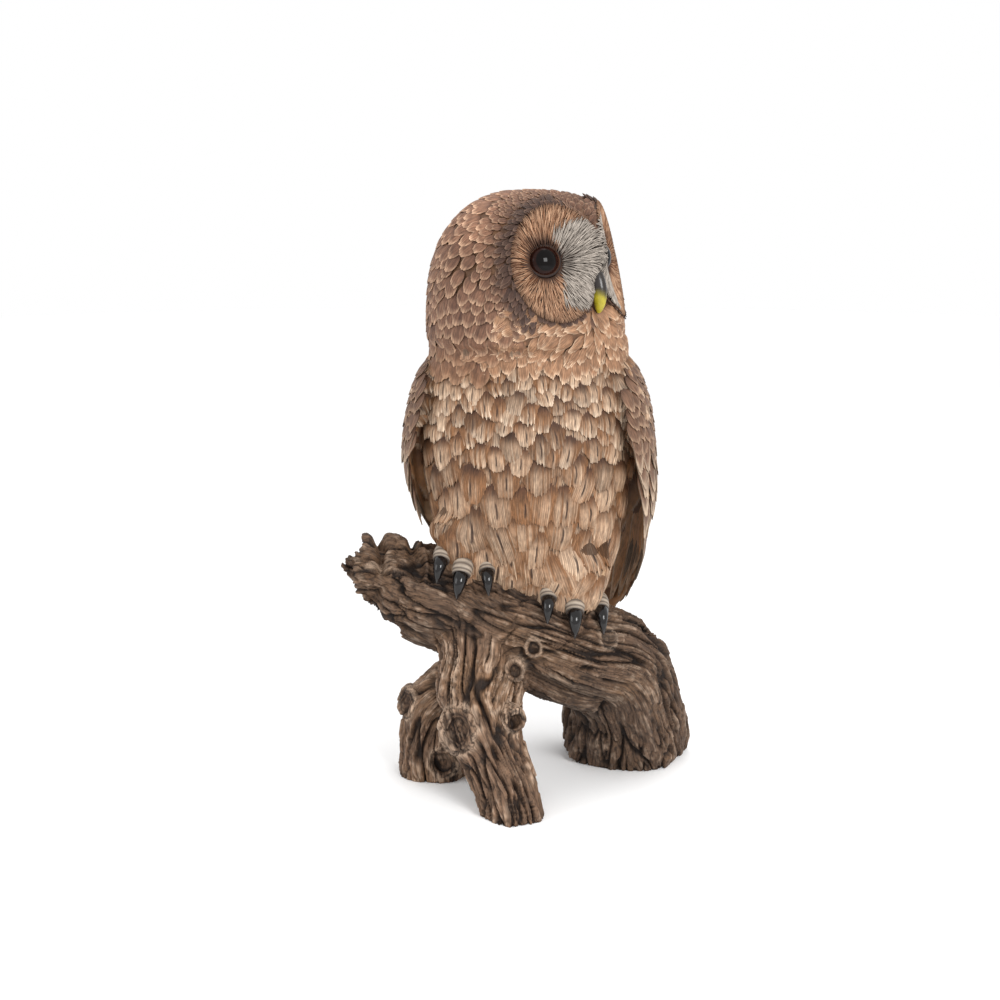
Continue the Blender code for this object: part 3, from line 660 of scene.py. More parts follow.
def vanes(roots, ways, lengths, widths, place, paint, rows=6, strands=7, lifts=(-1.6, 0.2), camber=0.9,
          groove=0.25, ragged=0.06, point=0.42, waist=0.35, thick=0.5, patch=0.7, bend=0.0, droop=0.0,
          curve=2.2):
    """Closed feathers on a surface, each a fan of barbs from its root to a ragged tip."""
    count = len(roots)
    lengths, widths = np.broadcast_to(lengths, count), np.broadcast_to(widths, count)
    ways, sides = laid(place, roots, ways)
    s = (np.linspace(0, 1, rows + 1) ** 0.85)[:, None]
    x = np.arange(3 * strands + 1) / 3
    t = x / strands * 2 - 1
    ridge = 1 - (2 * (x % 1) - 1) ** 2
    own = RNG.normal(size=(count, strands + 2))
    k = np.floor(x).astype(int) + 1
    valley = np.isclose(x % 1, 0)
    per = np.where(valley, (own[:, k - 1] + own[:, np.minimum(k, strands + 1)]) / 2, own[:, k])[:, None]
    reach = 1 - point * np.abs(t) ** curve + ragged * (per - 0.9 * valley)
    spread = waist + (1 - waist) * np.sin(0.5 * math.pi * np.minimum(s / 0.72, 1))
    along = lengths[:, None, None] * s * reach
    across = 0.5 * widths[:, None, None] * spread * t
    across = across + np.broadcast_to(bend, count)[:, None, None] * along ** 2 / lengths[:, None, None]
    low, high = (np.broadcast_to(v, count)[:, None, None] for v in lifts)
    height = (low + (high - low) * s ** 0.9 - camber * np.abs(t) ** 2.2 * (0.4 + 0.6 * s)
              - droop * step(0.55, 1.05, s) ** 1.3
              + groove * step(0.0, 0.5, s) * (ridge - 0.6 + 0.3 * per))
    flat = (roots[:, None, None] + ways[:, None, None] * along[..., None]
            + sides[:, None, None] * across[..., None])
    top = place(flat, height)
    colour = paint(dict(s=s + 0 * along, t=t + 0 * along, own=per + 0 * along, valley=ridge + 0 * along,
                        roots=roots[:, None, None], where=roots[:, None, None] + 0 * top, points=top))
    size = (rows + 1) * len(x)
    grid = np.arange(size).reshape(rows + 1, len(x))
    rim = np.concatenate([grid[0, ::-1], grid[1:, 0], grid[-1, 1:], grid[-2:0:-1, -1]])

    def closed(values, at_rim, at_root):
        """Values for the top, the rim's underside and the point underneath that closes the body."""
        values = values.reshape(count, size, -1)
        lower = values[:, rim]
        return np.concatenate([values, lower * at_rim, lower.mean(1, keepdims=True) * at_root], 1)
    edge = flat.reshape(count, size, 3)[:, rim]
    middle = (roots + ways * (lengths * 0.45)[:, None])[:, None]
    lip = place(edge + (middle - edge) * 0.05, height.reshape(count, size)[:, rim] - thick)
    centre = place(roots + ways * (lengths * 0.4)[:, None], low[:, 0, 0] - 0.6)
    points = np.concatenate([top.reshape(count, size, 3), lip, centre[:, None]], 1)
    grain = np.stack([1.6 * across, 0.22 * along, 0 * along + 9.0 * own[:, :1, None]], -1)
    here = np.arange(len(rim))
    after = (here + 1) % len(rim)
    quads = np.stack([grid[:-1, :-1], grid[:-1, 1:], grid[1:, 1:], grid[1:, :-1]], -1).reshape(-1, 4)
    wall = np.stack([rim[after], rim[here], size + here, size + after], 1)
    fan = np.stack([size + here, 0 * here + size + len(rim), size + after], 1)
    local = closed(np.stack([(t + 0 * along) * 0.5, 0.5 - s + 0 * along], -1), 0.96, 0)
    spans = np.stack([widths * patch / (2 * math.pi * 50), widths * patch / (HIGH - LOW)], -1)
    # the rims' undersides and the closing points take the tops' colours darkened, as painted shade under each
    # feather
    return bundle(points, [np.concatenate([quads, wall]), fan], closed(colour, 0.55, 0.3),
                  shell_uv(roots)[:, None] + local * spans[:, None], closed(grain, 1, 1))


def strands(roots, ways, lengths, widths, place, paint, rows=5, lifts=(-0.6, 0.5), bend=0.0, tall=0.5):
    """Closed hair-like barbs, three-sided, each tapering to its tip."""
    count = len(roots)
    ways, sides = laid(place, roots, ways)
    s = np.linspace(0, 1, rows + 1)[None]
    curl = np.broadcast_to(bend, count)[:, None] * lengths[:, None] * s ** 2
    wide = widths[:, None] * (0.55 + 0.6 * np.sin(math.pi * np.minimum(s + 0.15, 1)))
    wide[:, -1] *= 0.15
    low, high = (np.broadcast_to(v, count)[:, None] for v in lifts)
    lift = low + (high - low) * np.sin(0.5 * math.pi * s)
    middle = roots[:, None] + ways[:, None] * (lengths[:, None] * s)[..., None]
    rings = []
    for across, up in ((-0.5, 0.0), (0.0, 1.0), (0.5, 0.0)):
        flat = middle + sides[:, None] * (curl + across * wide)[..., None]
        rings.append(place(flat, lift + up * tall * wide / widths[:, None] - (0.25 if up == 0 else 0)))
    points = np.stack(rings, 2)
    still = np.zeros(points.shape[:3])
    colour = paint(dict(s=s[..., None] + still, own=RNG.normal(size=(count, 1, 1)) + still,
                        ridge=np.array((0.0, 1.0, 0.0)) + still, where=roots[:, None, None] + 0 * points,
                        points=points))
    points = points.reshape(count, -1, 3)
    last = rows * 3
    ends = np.array([[0, 1, 2], [last + 2, last + 1, last]])
    uv = shell_uv(roots)[:, None] + np.stack([np.tile([-0.0012, 0, 0.0012], rows + 1),
                                              np.repeat(np.linspace(-0.0015, 0.0015, rows + 1), 3)], -1)[None]
    return bundle(points, [ring_faces(rows + 1, 3)[:, ::-1], ends], colour, uv, 0 * points)


def coat(name, parts, material, slot="feathers"):
    """Several bundles as one piece; its unwrap is the skin's, enlarged to the part that it covers."""
    starts = np.cumsum([0] + [len(part[0]) for part in parts])
    faces = [np.concatenate([part[1][kind] + start for start, part in zip(starts, parts)])
             for kind in range(2)]
    points, colours, uv, grain = (np.concatenate([part[k] for part in parts]) for k in (0, 2, 3, 4))
    low, high = uv.min(0), uv.max(0)
    uv = 0.01 + 0.98 * (uv - low) / (high - low)
    return piece(name, points, faces, colours, material, slot, uv=uv, grain=grain)


def shell_candidates(count, low, high):
    """Random points on the owl's shell between two heights along it, by its area."""
    phi = RNG.uniform(0, 2 * math.pi, count)
    w = RNG.uniform(low, high, count)
    keep = RNG.uniform(0, 1, count) < np.cos(np.clip(w, 0, None) / HEAD_RADIUS)
    phi, w = phi[keep], w[keep]
    start, way = ray_of(phi, w)
    return start + way * reach_at(phi, w)[:, None]


def scale_paint(dark, mid, edge, streak=0.0):
    """Paint for scales: painted shade towards the root, where the scale above lies over it, and between
    barbs, over the figure's dark wash; light along the edge.
    """
    def paint(v):
        tone = noise(v["where"], 14.0)
        aside = np.abs(v["t"])
        rim = step(0.62, 0.98, np.maximum(aside * (0.35 + 0.65 * v["s"]), v["s"] ** 1.5))
        out = washed(mix(mid, dark, 0.25 + 0.35 * tone - 0.15 * v["own"]),
                     # the two dark layers are painted shade: towards the root and between barbs
                     (edge, rim * (0.75 + 0.2 * v["own"])), (dark, 0.75 * step(0.45, 0.05, v["s"])),
                     (dark, 0.45 * (1 - v["valley"]) * step(0.2, 0.6, v["s"])))
        if streak:
            out = mix(out, dark, streak * (step(0.16, 0.05, aside) * step(0.95, 0.8, v["s"])))
        return out
    return paint


# ---------------------------------------------------------------- the owl's pieces

DOWN = np.array((0.0, 0.0, -1.0))


def head_lie(points):
    """Which way the head's feathers lie: away from the face over the crown, and down the nape."""
    away = points - to_head(34.0, 0.0, 34.0)
    fall = step(60.0, 5.0, points[..., 2] - HEAD_Z)[..., None]
    return unit(away) * (1.1 - 0.5 * fall) + DOWN * (0.25 + 0.95 * fall)


def jitter(ways, amount):
    return unit(ways) + RNG.normal(size=ways.shape) * amount


def head_scales():
    """Rounded scales over the crown, cheeks and nape, smallest and darkest by the discs."""
    points = shell_candidates(26000, -20.0, HIGH)
    forward, right, up = in_head(points)
    _, _, reach = disc_place(points)
    chin = (up < 3) & (forward > 12) & (np.abs(right) < 42)
    median = (forward > 20) & (np.abs(right) < 7) & (up < 47) & (up > -5)
    nearest = 1.24 - 0.16 * step(38, 46, up) * step(26, 14, np.abs(right))
    keep = (reach > nearest) & ~chin & ~median
    points, reach, up = points[keep], reach[keep], up[keep]
    gap = 3.05 + 2.4 * step(1.2, 2.2, reach) - 0.9 * step(36, 60, up) + 1.3 * step(8, -12, up)
    points, gap = spaced(points, gap)
    own = RNG.uniform(0.86, 1.16, len(points))
    paint = scale_paint(HEAD_DARK, HEAD_MID, HEAD_EDGE)

    def warm(v):
        _, _, at = disc_place(v["roots"][:, 0, 0])
        up = v["roots"][..., 2] - HEAD_Z
        out = mix(paint(v), BREAST_TAN, 0.45 * step(4, -16, up) * v["s"])
        out = out * (1 + 0.5 * step(30, 55, up))[..., None]
        return mix(out, RIM_DARK, 0.55 * step(1.62, 1.24, at)[:, None, None] + 0 * v["s"])
    crown = step(40, 60, points[:, 2] - HEAD_Z)
    return vanes(points, jitter(head_lie(points), 0.10), gap * 2.05 * own, gap * 1.62 * own, on_shell, warm,
                 strands=5, lifts=(-1.3 - 0.4 * crown, 0.6 - 0.8 * crown), camber=0.8, groove=0.14,
                 ragged=0.03, point=0.46, curve=2.8, droop=0.35, waist=0.45, thick=0.55)


def disc_points(side, a, b):
    """Points on a facial disc's face from places across and up it."""
    forward, right, up = on_disc(a, b).T
    return on_shell(to_head(forward, right * side, up))


EYE_A, EYE_B = (EYE_CENTRE - DISC_CENTRE) @ DISC_ACROSS, (EYE_CENTRE - DISC_CENTRE) @ DISC_RISE


def rim_ruff(side):
    """Three rows of small dark feathers that curl back over the disc's edge."""
    parts = []
    for share, gap, size, lift in ((1.04, 3.0, 5.2, 1.0), (1.16, 3.4, 6.4, 0.9), (1.27, 3.8, 7.0, 0.7)):
        count = int(2 * math.pi * 25 * share / gap)
        angle = circle(count) + RNG.normal(size=count) * 0.03 + share
        a, b = share * DISC_WIDE * np.cos(angle), share * DISC_TALL * np.sin(angle)
        right = on_disc(a, b)[:, 1]
        keep = (right > 3.0) & ((share < 1.1) | (b > -12.0) | (a > 13.0)) & (
            (b < 15.0) | (right > (8.0 if side > 0 else 14.0)))
        a, b, angle, flat = a[keep], b[keep], angle[keep], ((b > 15.0) & (right < 16.0))[keep]
        roots = disc_points(side, a * 0.97, b * 0.97)
        ahead = disc_points(side, a * 1.12 + 1.5 * np.sin(angle), b * 1.12 - 2.5 * np.abs(np.cos(angle)))
        size = size * np.where((b < -17) & (a < 9) | flat, 0.75, 1.0)
        ways = jitter(unit(ahead - roots), 0.15)
        parts.append(vanes(roots, ways, size * RNG.uniform(0.85, 1.15, len(a)), 3.6, on_shell,
                           scale_paint((0.05, 0.025, 0.018), RIM_DARK, RIM_LIGHT), rows=4, strands=3,
                           lifts=(-0.9 - 0.6 * flat, np.where(flat, -0.7, lift)), camber=0.8, groove=0.2,
                           point=0.5))
    return parts


# Where the grey barbs by the bill end: places up and across the disc
LORE_EDGE = ((-22, -17), (-20, -9.5), (-17, -3), (-9, -3), (-4, -3), (10, -1), (12, 1.5), (17.5, -8.5),
             (19.5, -18))


def disc_strands(side):
    """Barbs that radiate from the eye over the disc, warm outside and grey-white by the bill."""
    a, b = RNG.uniform(-25, 25, 15000), RNG.uniform(-31, 31, 15000)
    near = np.hypot((a - EYE_A) / 8.9, (b - EYE_B) / 8.0)
    inside = (oval(a, b) < 0.99) & (on_disc(a, b)[:, 1] > 0.8) & (near > 1)
    a, b = a[inside], b[inside]
    chosen = scatter(disc_points(side, a, b), 0.74)
    a, b = a[chosen], b[chosen]
    lore = a < np.interp(b, *zip(*LORE_EDGE))

    def warm(v):
        a, b, reach = disc_place(v["points"])
        near = np.hypot(a - EYE_A, b - EYE_B)
        out = mix(DISC_ORANGE, DISC_LIGHT, -0.36 + 0.28 * v["own"] + 0.42 * v["ridge"] + 0.34 * v["s"]
                  + 0.28 * step(0, -16, b) + 0.16 * step(14, 22, b))
        brow = bell((b - EYE_B, 9.5, 3.2), (a - EYE_A, 4, 9.0))
        # painted shade on each strand's lower sides, between strands
        return washed(out, (DISC_DARK, 0.9 * (1 - v["ridge"]) * step(0.0, 0.2, v["s"])),
                      (DISC_DARK, 0.85 * step(11.5, 8.5, near)),
                      (DISC_DARK, 0.45 * step(0.88, 1.05, reach)), (DISC_DARK, 0.75 * brow))

    def cool(v):
        a, b, _ = disc_place(v["points"])
        near = np.hypot(a - EYE_A, b - EYE_B)
        # lighter along each strand's top edge, darker on its lower sides as painted shade between strands
        out = mix(LORE_DARK, LORE_LIGHT, -0.06 + 0.64 * v["ridge"] + 0.18 * v["own"] + 0.20 * v["s"])
        smudge = bell((a, -7.0, 3.0), (b, 2.0, 6.5))
        return mix(out, (0.045, 0.032, 0.026), np.maximum(0.72 * smudge, 0.9 * step(10.8, 8.5, near)))

    parts = []
    for some, paint, centre in ((~lore, warm, (EYE_A, EYE_B)), (lore, cool, (EYE_A - 4.0, EYE_B + 0.5))):
        a0, b0 = a[some], b[some]
        angle = np.arctan2(b0 - centre[1], a0 - centre[0])
        roots = disc_points(side, a0, b0)
        ahead = disc_points(side, a0 + 3 * np.cos(angle), b0 + 3 * np.sin(angle))
        count = len(a0)
        raised = 1.1 + 1.3 * step(-13, -20, a0) * step(18, 10, b0)
        room = 26.0 * (1.03 - oval(a0, b0)) + 1.6 + 4.0 * (
            step(-11, -15, a0) * step(-14, -8, b0) * step(19, 14, b0))
        ways = jitter(unit(ahead - roots), 0.09)
        parts.append(strands(roots, ways, np.minimum(RNG.uniform(5.0, 8.0, count), room),
                             RNG.uniform(0.55, 0.85, count), on_shell, paint,
                             lifts=(0.0, raised) if paint is cool else (-0.5, 0.35),
                             bend=RNG.normal(size=count) * 0.05))
    return parts


def median_scales():
    """The narrow band of small scales between the discs, down to the bill, and the forehead's."""
    up = RNG.uniform(20, 62, 700)
    right = RNG.uniform(-7.5, 7.5, 700)
    points = on_shell(to_head(np.full(700, 46.0), right, up))
    _, _, reach = disc_place(points)
    _, right, up = in_head(points)
    points = points[((reach > 1.0) | (np.abs(right) < 2.2)) & (up < 45)]
    points = points[scatter(points, 2.3)]
    over = step(40, 50, in_head(points)[2])[:, None]
    lie = head_way(0.0, 0.0, 1.0) - 1.2 * head_way(1.0, 0.0, 0.0) * over
    return vanes(points, jitter(lie, 0.12), 5.0, 3.2, on_shell,
                 scale_paint((0.08, 0.04, 0.03), (0.2, 0.11, 0.08), HEAD_EDGE), rows=4, strands=3,
                 lifts=(-1.3, -0.4), camber=0.6, groove=0.15, thick=0.4)


def chin_curls():
    """Soft curls that sweep out from under the bill below both discs."""
    points = shell_candidates(30000, -19.0, 8.0)
    forward, right, up = in_head(points)
    _, _, reach = disc_place(points)
    points = points[(forward > 10) & (np.abs(right) < 46) & (up < 8) & (reach > 1.0)]
    points = points[scatter(points, 4.2)]
    count = len(points)
    _, right, up = in_head(points)
    out = np.where(right > 0, 1.0, -1.0)[:, None] * head_way(0.0, 1.0, 0.0)
    spread = step(1, 13, np.abs(right))[:, None]
    lie = out * (0.05 + 1.35 * spread) * step(-22, 2, up)[:, None] + DOWN * (
        0.55 + 0.9 * step(0, -14, up)[:, None])
    return vanes(points, jitter(lie, 0.13), RNG.uniform(9, 12.5, count), RNG.uniform(5.5, 7.5, count),
                 on_shell, scale_paint((0.14, 0.060, 0.028), (0.37, 0.205, 0.115), (0.72, 0.51, 0.35)),
                 rows=9, lifts=(-1.4, 0.7), camber=1.3, groove=0.22, ragged=0.05, point=0.5, curve=2.6,
                 droop=0.8, bend=RNG.normal(size=count) * 0.10)


def breast_paint(v):
    """Cream-domed shells with tan sides, painted shade in the hollows (at the roots under the tuft above,
    along the sides and between barbs), and a short dark shaft streak.
    """
    where, aside = v["where"], np.abs(v["t"])
    tone = noise(where, 18.0) + 0.5 * noise(where, 6.0)
    upper, low = step(180, 212, where[..., 2]), step(180, 130, where[..., 2])
    # each dome's centre is painted cream: partly the shells' own cream, partly a painted highlight where the
    # dome faces the light
    dome = 1 - aside ** 1.7 - 3.6 * (v["s"] - 0.74) ** 2
    out = washed(mix(BREAST_TAN, BREAST_CREAM, -0.42 + 0.44 * tone + 0.14 * v["own"] + 0.86 * dome),
                 ((0.80, 0.62, 0.46), 0.75 * upper * step(0.70, 0.96, v["s"]) * (0.6 + 0.4 * v["own"])),
                 (BREAST_CREAM, 0.30 * step(150, 115, where[..., 2]) * step(0.5, 0.8, v["s"])),
                 # painted shade: darker at each shell's root, under the tuft above, and along its sides
                 (BREAST_DARK, (0.92 - 0.62 * low) * step(0.64, 0.25, v["s"])
                  + (0.4 - 0.2 * low) * step(0.72, 1.0, aside)))
    # painted shade: broad irregular darker patches, for the hollows between clumps of tufts
    clump_shade = step(0.1, -0.5, noise(where + 90, 11.0)) * (1 - low)
    out = out * (1 - 0.36 * clump_shade[..., None])
    own = noise(where + 40, 3.1)
    line = step(0.07, 0.02, np.abs(v["t"] + 0.06 * np.sin(7 * v["s"]) + 0.1 * own))
    line = line * step(0.50, 0.58, v["s"] + 0.1 * own) * step(0.88, 0.82, v["s"] - 0.06 * own) * (own > -0.25)
    # painted shade between barbs, then the dark shaft streak
    return washed(out, (BREAST_DARK, 0.46 * (1 - v["valley"]) * step(0.1, 0.5, v["s"])),
                  ((0.030, 0.013, 0.008), 0.95 * line))


def wing_edge(z):
    """Degrees round the body at which the breast's feathers end and the wing's or the back's begin."""
    return np.interp(z, (95, 120, 165, 182, 211, 240), (125, 100, 80, 78, 82, 120))


# The breast's pieces from the hem up: their heights, each tuft's rows and barbs, and its tip's height
BANDS = ((80, 118, 12, 20, 0.3), (118, 150, 15, 27, 1.2), (150, 178, 15, 28, 2.0), (178, 204, 13, 22, 2.1),
         (204, 260, 10, 16, 1.8))
HAIRS = 14      # on each tuft of the hem
SPARE = 9000    # places that are looked at again, for bare skin between the tufts


def front_shells():
    """The breast's domed, fan-shaped tufts, down to the fluffy hem, whose tufts end in hairs."""
    points = shell_candidates(60000, -159.0, -11.0)
    z = points[:, 2]
    _, _, turn = body_turn(points)
    over_toes = step(8, 16, points[:, 0]) * (turn < 100)
    points = points[(turn < wing_edge(z)) & (z > 91 + 15 * over_toes)]
    spare = points[-SPARE:]
    points, gap = spaced(points, np.interp(points[:, 2], (92, 100, 130, 165, 185, 205, 238),
                                           (5.5, 8.0, 12.0, 12.5, 10.0, 7.6, 6.2)))
    size = gap * RNG.uniform(0.9, 1.30, len(points))
    away = spare[:, None] - points[None]
    below = -away[..., 2] / (2.2 * size)
    aside = np.hypot(away[..., 0], away[..., 1]) / size
    covered = ((below > 0.15) & (below < 0.64) & (aside < np.minimum(0.36 + 0.95 * below, 0.70))).any(1)
    bare = spare[~covered]
    bare = bare[scatter(bare, 5.5)]
    bare = bare[(bare[:, 2] > 106) | (bare[:, 0] < 8)] - 8.0 * DOWN
    bare = on_mantle(bare[bare[:, 2] < 236])
    z = points[:, 2]
    parts = []
    for low, high, rows, barbs, tip in BANDS:
        some = (z >= low) & (z < high)
        place = on_mantle if low > 200 else on_shell
        p, g, at = points[some], size[some], z[some]
        high_at = tip - 1.3 * step(222, 236, at)
        lie = jitter(DOWN + 0 * p, 0.09)
        length, width = g * np.interp(at, (100, 150, 200, 240), (2.3, 2.4, 2.05, 1.9)), g * 1.74
        hang = at - 98 - 9 * (1 - step(8, 16, p[:, 0]))
        length = np.minimum(length, np.maximum(hang, 7.0)) if low < 150 else length
        parts.append([vanes(p, lie, length, width, place, breast_paint, rows=rows, strands=barbs,
                            lifts=(-2.8, high_at), camber=3.4, groove=0.22, ragged=0.026, point=0.52,
                            curve=2.6, waist=0.5, thick=0.9, droop=1.8, bend=RNG.normal(size=len(p)) * 0.05)])
        under = bare[(bare[:, 2] >= low) & (bare[:, 2] < high)]
        if len(under):
            # filler tufts over bare skin, painted darker than the shells as painted shade between them
            parts[-1].append(vanes(under, jitter(DOWN + 0 * under, 0.09), 17.0, 14.0, place,
                                   lambda v: 0.82 * breast_paint(v), rows=8, strands=13, lifts=(-2.6, -1.0),
                                   camber=1.2, groove=0.22, ragged=0.03, point=0.50, waist=0.6, thick=0.7,
                                   droop=0.3))
        if low > 100:
            continue
        t = RNG.uniform(-0.85, 0.85, (len(p), HAIRS))
        ways, sides = laid(place, p, lie)
        s = (1 - 0.50 * np.abs(t) ** 2.7) * RNG.uniform(0.74, 0.90, t.shape)
        roots = (p[:, None] + ways[:, None] * (length[:, None] * s)[..., None]
                 + sides[:, None] * (0.47 * width[:, None] * t)[..., None]).reshape(-1, 3)
        fan = ways[:, None] + sides[:, None] * (0.35 * t + 0.10 * RNG.normal(size=t.shape))[..., None]
        lift = (high_at[:, None] - 1.5 - 3.0 * np.abs(t) ** 2.2).ravel()

        def hair(v):
            tone = noise(v["where"], 5.0)
            out = mix(BREAST_TAN, BREAST_CREAM, 0.12 + 0.3 * tone + 0.22 * v["own"])
            # painted shade: darker towards the root and on the lower sides
            return mix(out, BREAST_DARK, 0.4 * step(0.4, 0.0, v["s"]) + 0.45 * (1 - v["ridge"]))
        parts[-1].append(strands(roots, fan.reshape(-1, 3), RNG.uniform(2.4, 3.9, len(roots)),
                                 RNG.uniform(0.7, 1.05, len(roots)), place, hair, rows=3,
                                 lifts=(lift, lift - 0.7), tall=0.4))
    return parts


def back_scales():
    """The mantle: broad grey-brown scales with dark streaks, from the nape to the rump."""
    points = shell_candidates(26000, -160.0, -11.0)
    z = points[:, 2]
    _, _, turn = body_turn(points)
    keep = (turn >= wing_edge(z)) & ((turn > 128) | (z > 205) | (z < 108))
    points, z = points[keep], z[keep]
    points = np.where((z > 200)[:, None], on_mantle(points), points)
    points, gap = spaced(points, np.interp(z, (110, 160, 200, 238), (7.5, 8.0, 6.4, 5.0)))
    return vanes(points, jitter(DOWN + 0 * points, 0.1), gap * 2.4, gap * 1.6, on_mantle,
                 scale_paint(WING_DARK, HEAD_MID, WING_EDGE, streak=0.75), rows=7,
                 lifts=(-2.0, 0.6), camber=1.3, groove=0.2, thick=0.6)


def wing_points(side, count, heights, shares):
    z = RNG.uniform(*heights, count)
    return along_wing(side, RNG.uniform(*shares, count), z)


def wing_coat(side):
    """Small scales at the wing's shoulder and broader ones below, down to long cream-tipped coverts."""
    place = on_wing(side)
    back = turned(np.array((0.0, 1.0, 0.0))) - turned(np.zeros(3))
    points = wing_points(side, 9000, (188, 228), (-0.03, 1.03))
    points, gap = spaced(points, np.interp(points[:, 2], (158, 190, 228), (7.0, 6.2, 4.8)))
    scales = vanes(points, jitter(DOWN + 0.22 * back + 0 * points, 0.08), gap * 2.15, gap * 1.75, place,
                   scale_paint(WING_DARK, WING_MID, WING_EDGE, streak=0.25), rows=7, strands=5,
                   lifts=(-1.6, 0.8), camber=1.0, groove=0.14, thick=0.6, point=0.46, curve=2.7, droop=0.3)
    points = wing_points(side, 5000, (160, 200), (-0.02, 1.0))
    points = points[scatter(points, 7.6)]
    longs = scale_paint(WING_DARK, WING_MID, WING_CREAM, streak=0.35)

    def fading(v):
        pale = step(172, 150, v["points"][..., 2]) * step(0.55, 1.0, v["s"] + 0.08 * v["own"])
        pale = pale * step(75, 35, in_body(v["points"])[1] + 20)
        return mix(longs(v), WING_CREAM, 0.75 * pale * step(1.0, 0.3, np.abs(v["t"])))
    ways = jitter(DOWN + 0.12 * back + 0 * points, 0.05)
    count = len(points)
    coverts = vanes(points, ways, RNG.uniform(22, 28, count), RNG.uniform(9.5, 11.5, count), place, fading,
                    rows=12, strands=8, lifts=(-1.6, 0.9), groove=0.1, thick=0.6, point=0.55, ragged=0.03)
    return [scales, coverts]


def blade_paint(v):
    """Long flight feathers: smooth brown, pale bars that fade to the edge, painted shade along both sides
    where the neighbours overlap, and a light tip.
    """
    aside = np.abs(v["t"])
    bars = 0.5 + 0.5 * np.sin(v["s"] * 26 + 2 * v["roots"][..., 2])
    return washed(mix(WING_MID, WING_DARK, 0.35 + 0.3 * v["own"] * 0.3),
                  (WING_CREAM, 0.45 * step(0.55, 0.95, bars) * step(0.2, 0.7, aside)
                   * step(0.15, 0.35, v["s"])),
                  # painted shade along both sides, where the neighbours overlap
                  (WING_DARK, 0.5 * step(0.55, 0.85, aside)),
                  (WING_CREAM, 0.75 * step(0.88, 0.96, np.maximum(aside, v["s"] ** 3))),
                  (WING_DARK, 0.85 * step(0.1, 0.03, aside)))


def under_paint(v):
    """The flight feathers' smooth, warm undersides."""
    return washed(mix(WING_INNER, WING_CREAM, 0.35 * step(0.1, 0.9, v["t"]) + 0.1 * v["own"]),
                  (WING_CREAM, 0.8 * step(0.72, 0.9, np.maximum(np.abs(v["t"]), v["s"] ** 2))),
                  (WING_DARK, 0.8 * step(0.93, 1.0, np.abs(v["t"]))))


# Each flight feather's root and tip: degrees round the body and height
BLADES = ((78, 160, 118, 108), (86, 158, 124, 101), (95, 156, 130, 95), (104, 154, 136, 90),
          (114, 152, 141, 86), (124, 150, 146, 83), (134, 148, 150, 82), (145, 146, 154, 84),
          (157, 144, 158, 88))
UNDER_BLADES = ((77, 186, 96, 122), (86, 180, 112, 108), (95, 172, 124, 98), (104, 164, 134, 92),
                (114, 156, 142, 88))


def long_vane(place, ends, width, paint, **form):
    """One flight feather on a surface, from places near its root and its tip."""
    root, tip = (place(end) for end in ends)
    way = tip - root
    return vanes(root, way, np.linalg.norm(way, axis=1), width, place, paint, ragged=0.01, **form)


NEAR_BLADES, NEAR_TAIL = 52.0, 45.0


def wing_ends(side, root_angle, root_z, tip_angle, tip_z):
    return [round_body(np.radians([angle]) * side, NEAR_BLADES, np.array([float(z)]))
            for angle, z in ((root_angle, root_z), (tip_angle, tip_z))]


def blades(side):
    """A folded wing's flight feathers, from under the coverts to the crossed tips, and their undersides."""
    outer, inner = on_wing(side), on_wing(side, inside=True)
    return [long_vane(outer, wing_ends(side, *row), 14.5, blade_paint, rows=26, strands=12,
                      lifts=(-0.6 + 0.06 * index, 0.25 + 0.12 * index), camber=0.8, groove=0.07, thick=0.6,
                      point=0.3, waist=0.7, patch=0.5) for index, row in enumerate(BLADES)] + [
            long_vane(inner, wing_ends(side, *row), 13.0, under_paint, rows=20, strands=8,
                      lifts=(-0.7, 0.35 + 0.1 * index), camber=0.7, groove=0.05, thick=0.5,
                      point=0.35, waist=0.6, patch=0.5) for index, row in enumerate(UNDER_BLADES)]


def tail_blades():
    parts = []
    for outside, count in ((True, 7), (False, 6)):
        for index in range(count):
            share = (index + 0.5) / count * 2 - 1
            ends = [swayed(*np.array([[x], [NEAR_TAIL], [z]]))
                    for x, z in ((share * 11, 130.0), (share * 14, 59.0 + 7 * abs(share) ** 2))]
            parts.append(long_vane(on_tail(outside), ends, 11.5, blade_paint, rows=22, strands=10,
                                   lifts=(-0.8, 0.25 + 0.12 * (count - abs(index - count // 2))), camber=0.7,
                                   groove=0.07, thick=0.5, point=0.3, waist=0.75, patch=0.5))
    return parts


# ---------------------------------------------------------------- skin, eyes, bill and feet

FLESH = ["head", "facial_disc_left", "facial_disc_right", "neck", "trunk", "wing_left", "wing_right",
         "flight_feathers_left", "flight_feathers_right", "tail", "leg_left", "leg_right"]


SKIN_VOXEL, SKIN_ROUNDS, SKIN_DEPTH = 1.5, 10, 1.7
LOG_VOXEL, LOG_ROUNDS = (0.66), 5
SWELL = 0.32                           # closes the 0.3 mm gaps between the nodes


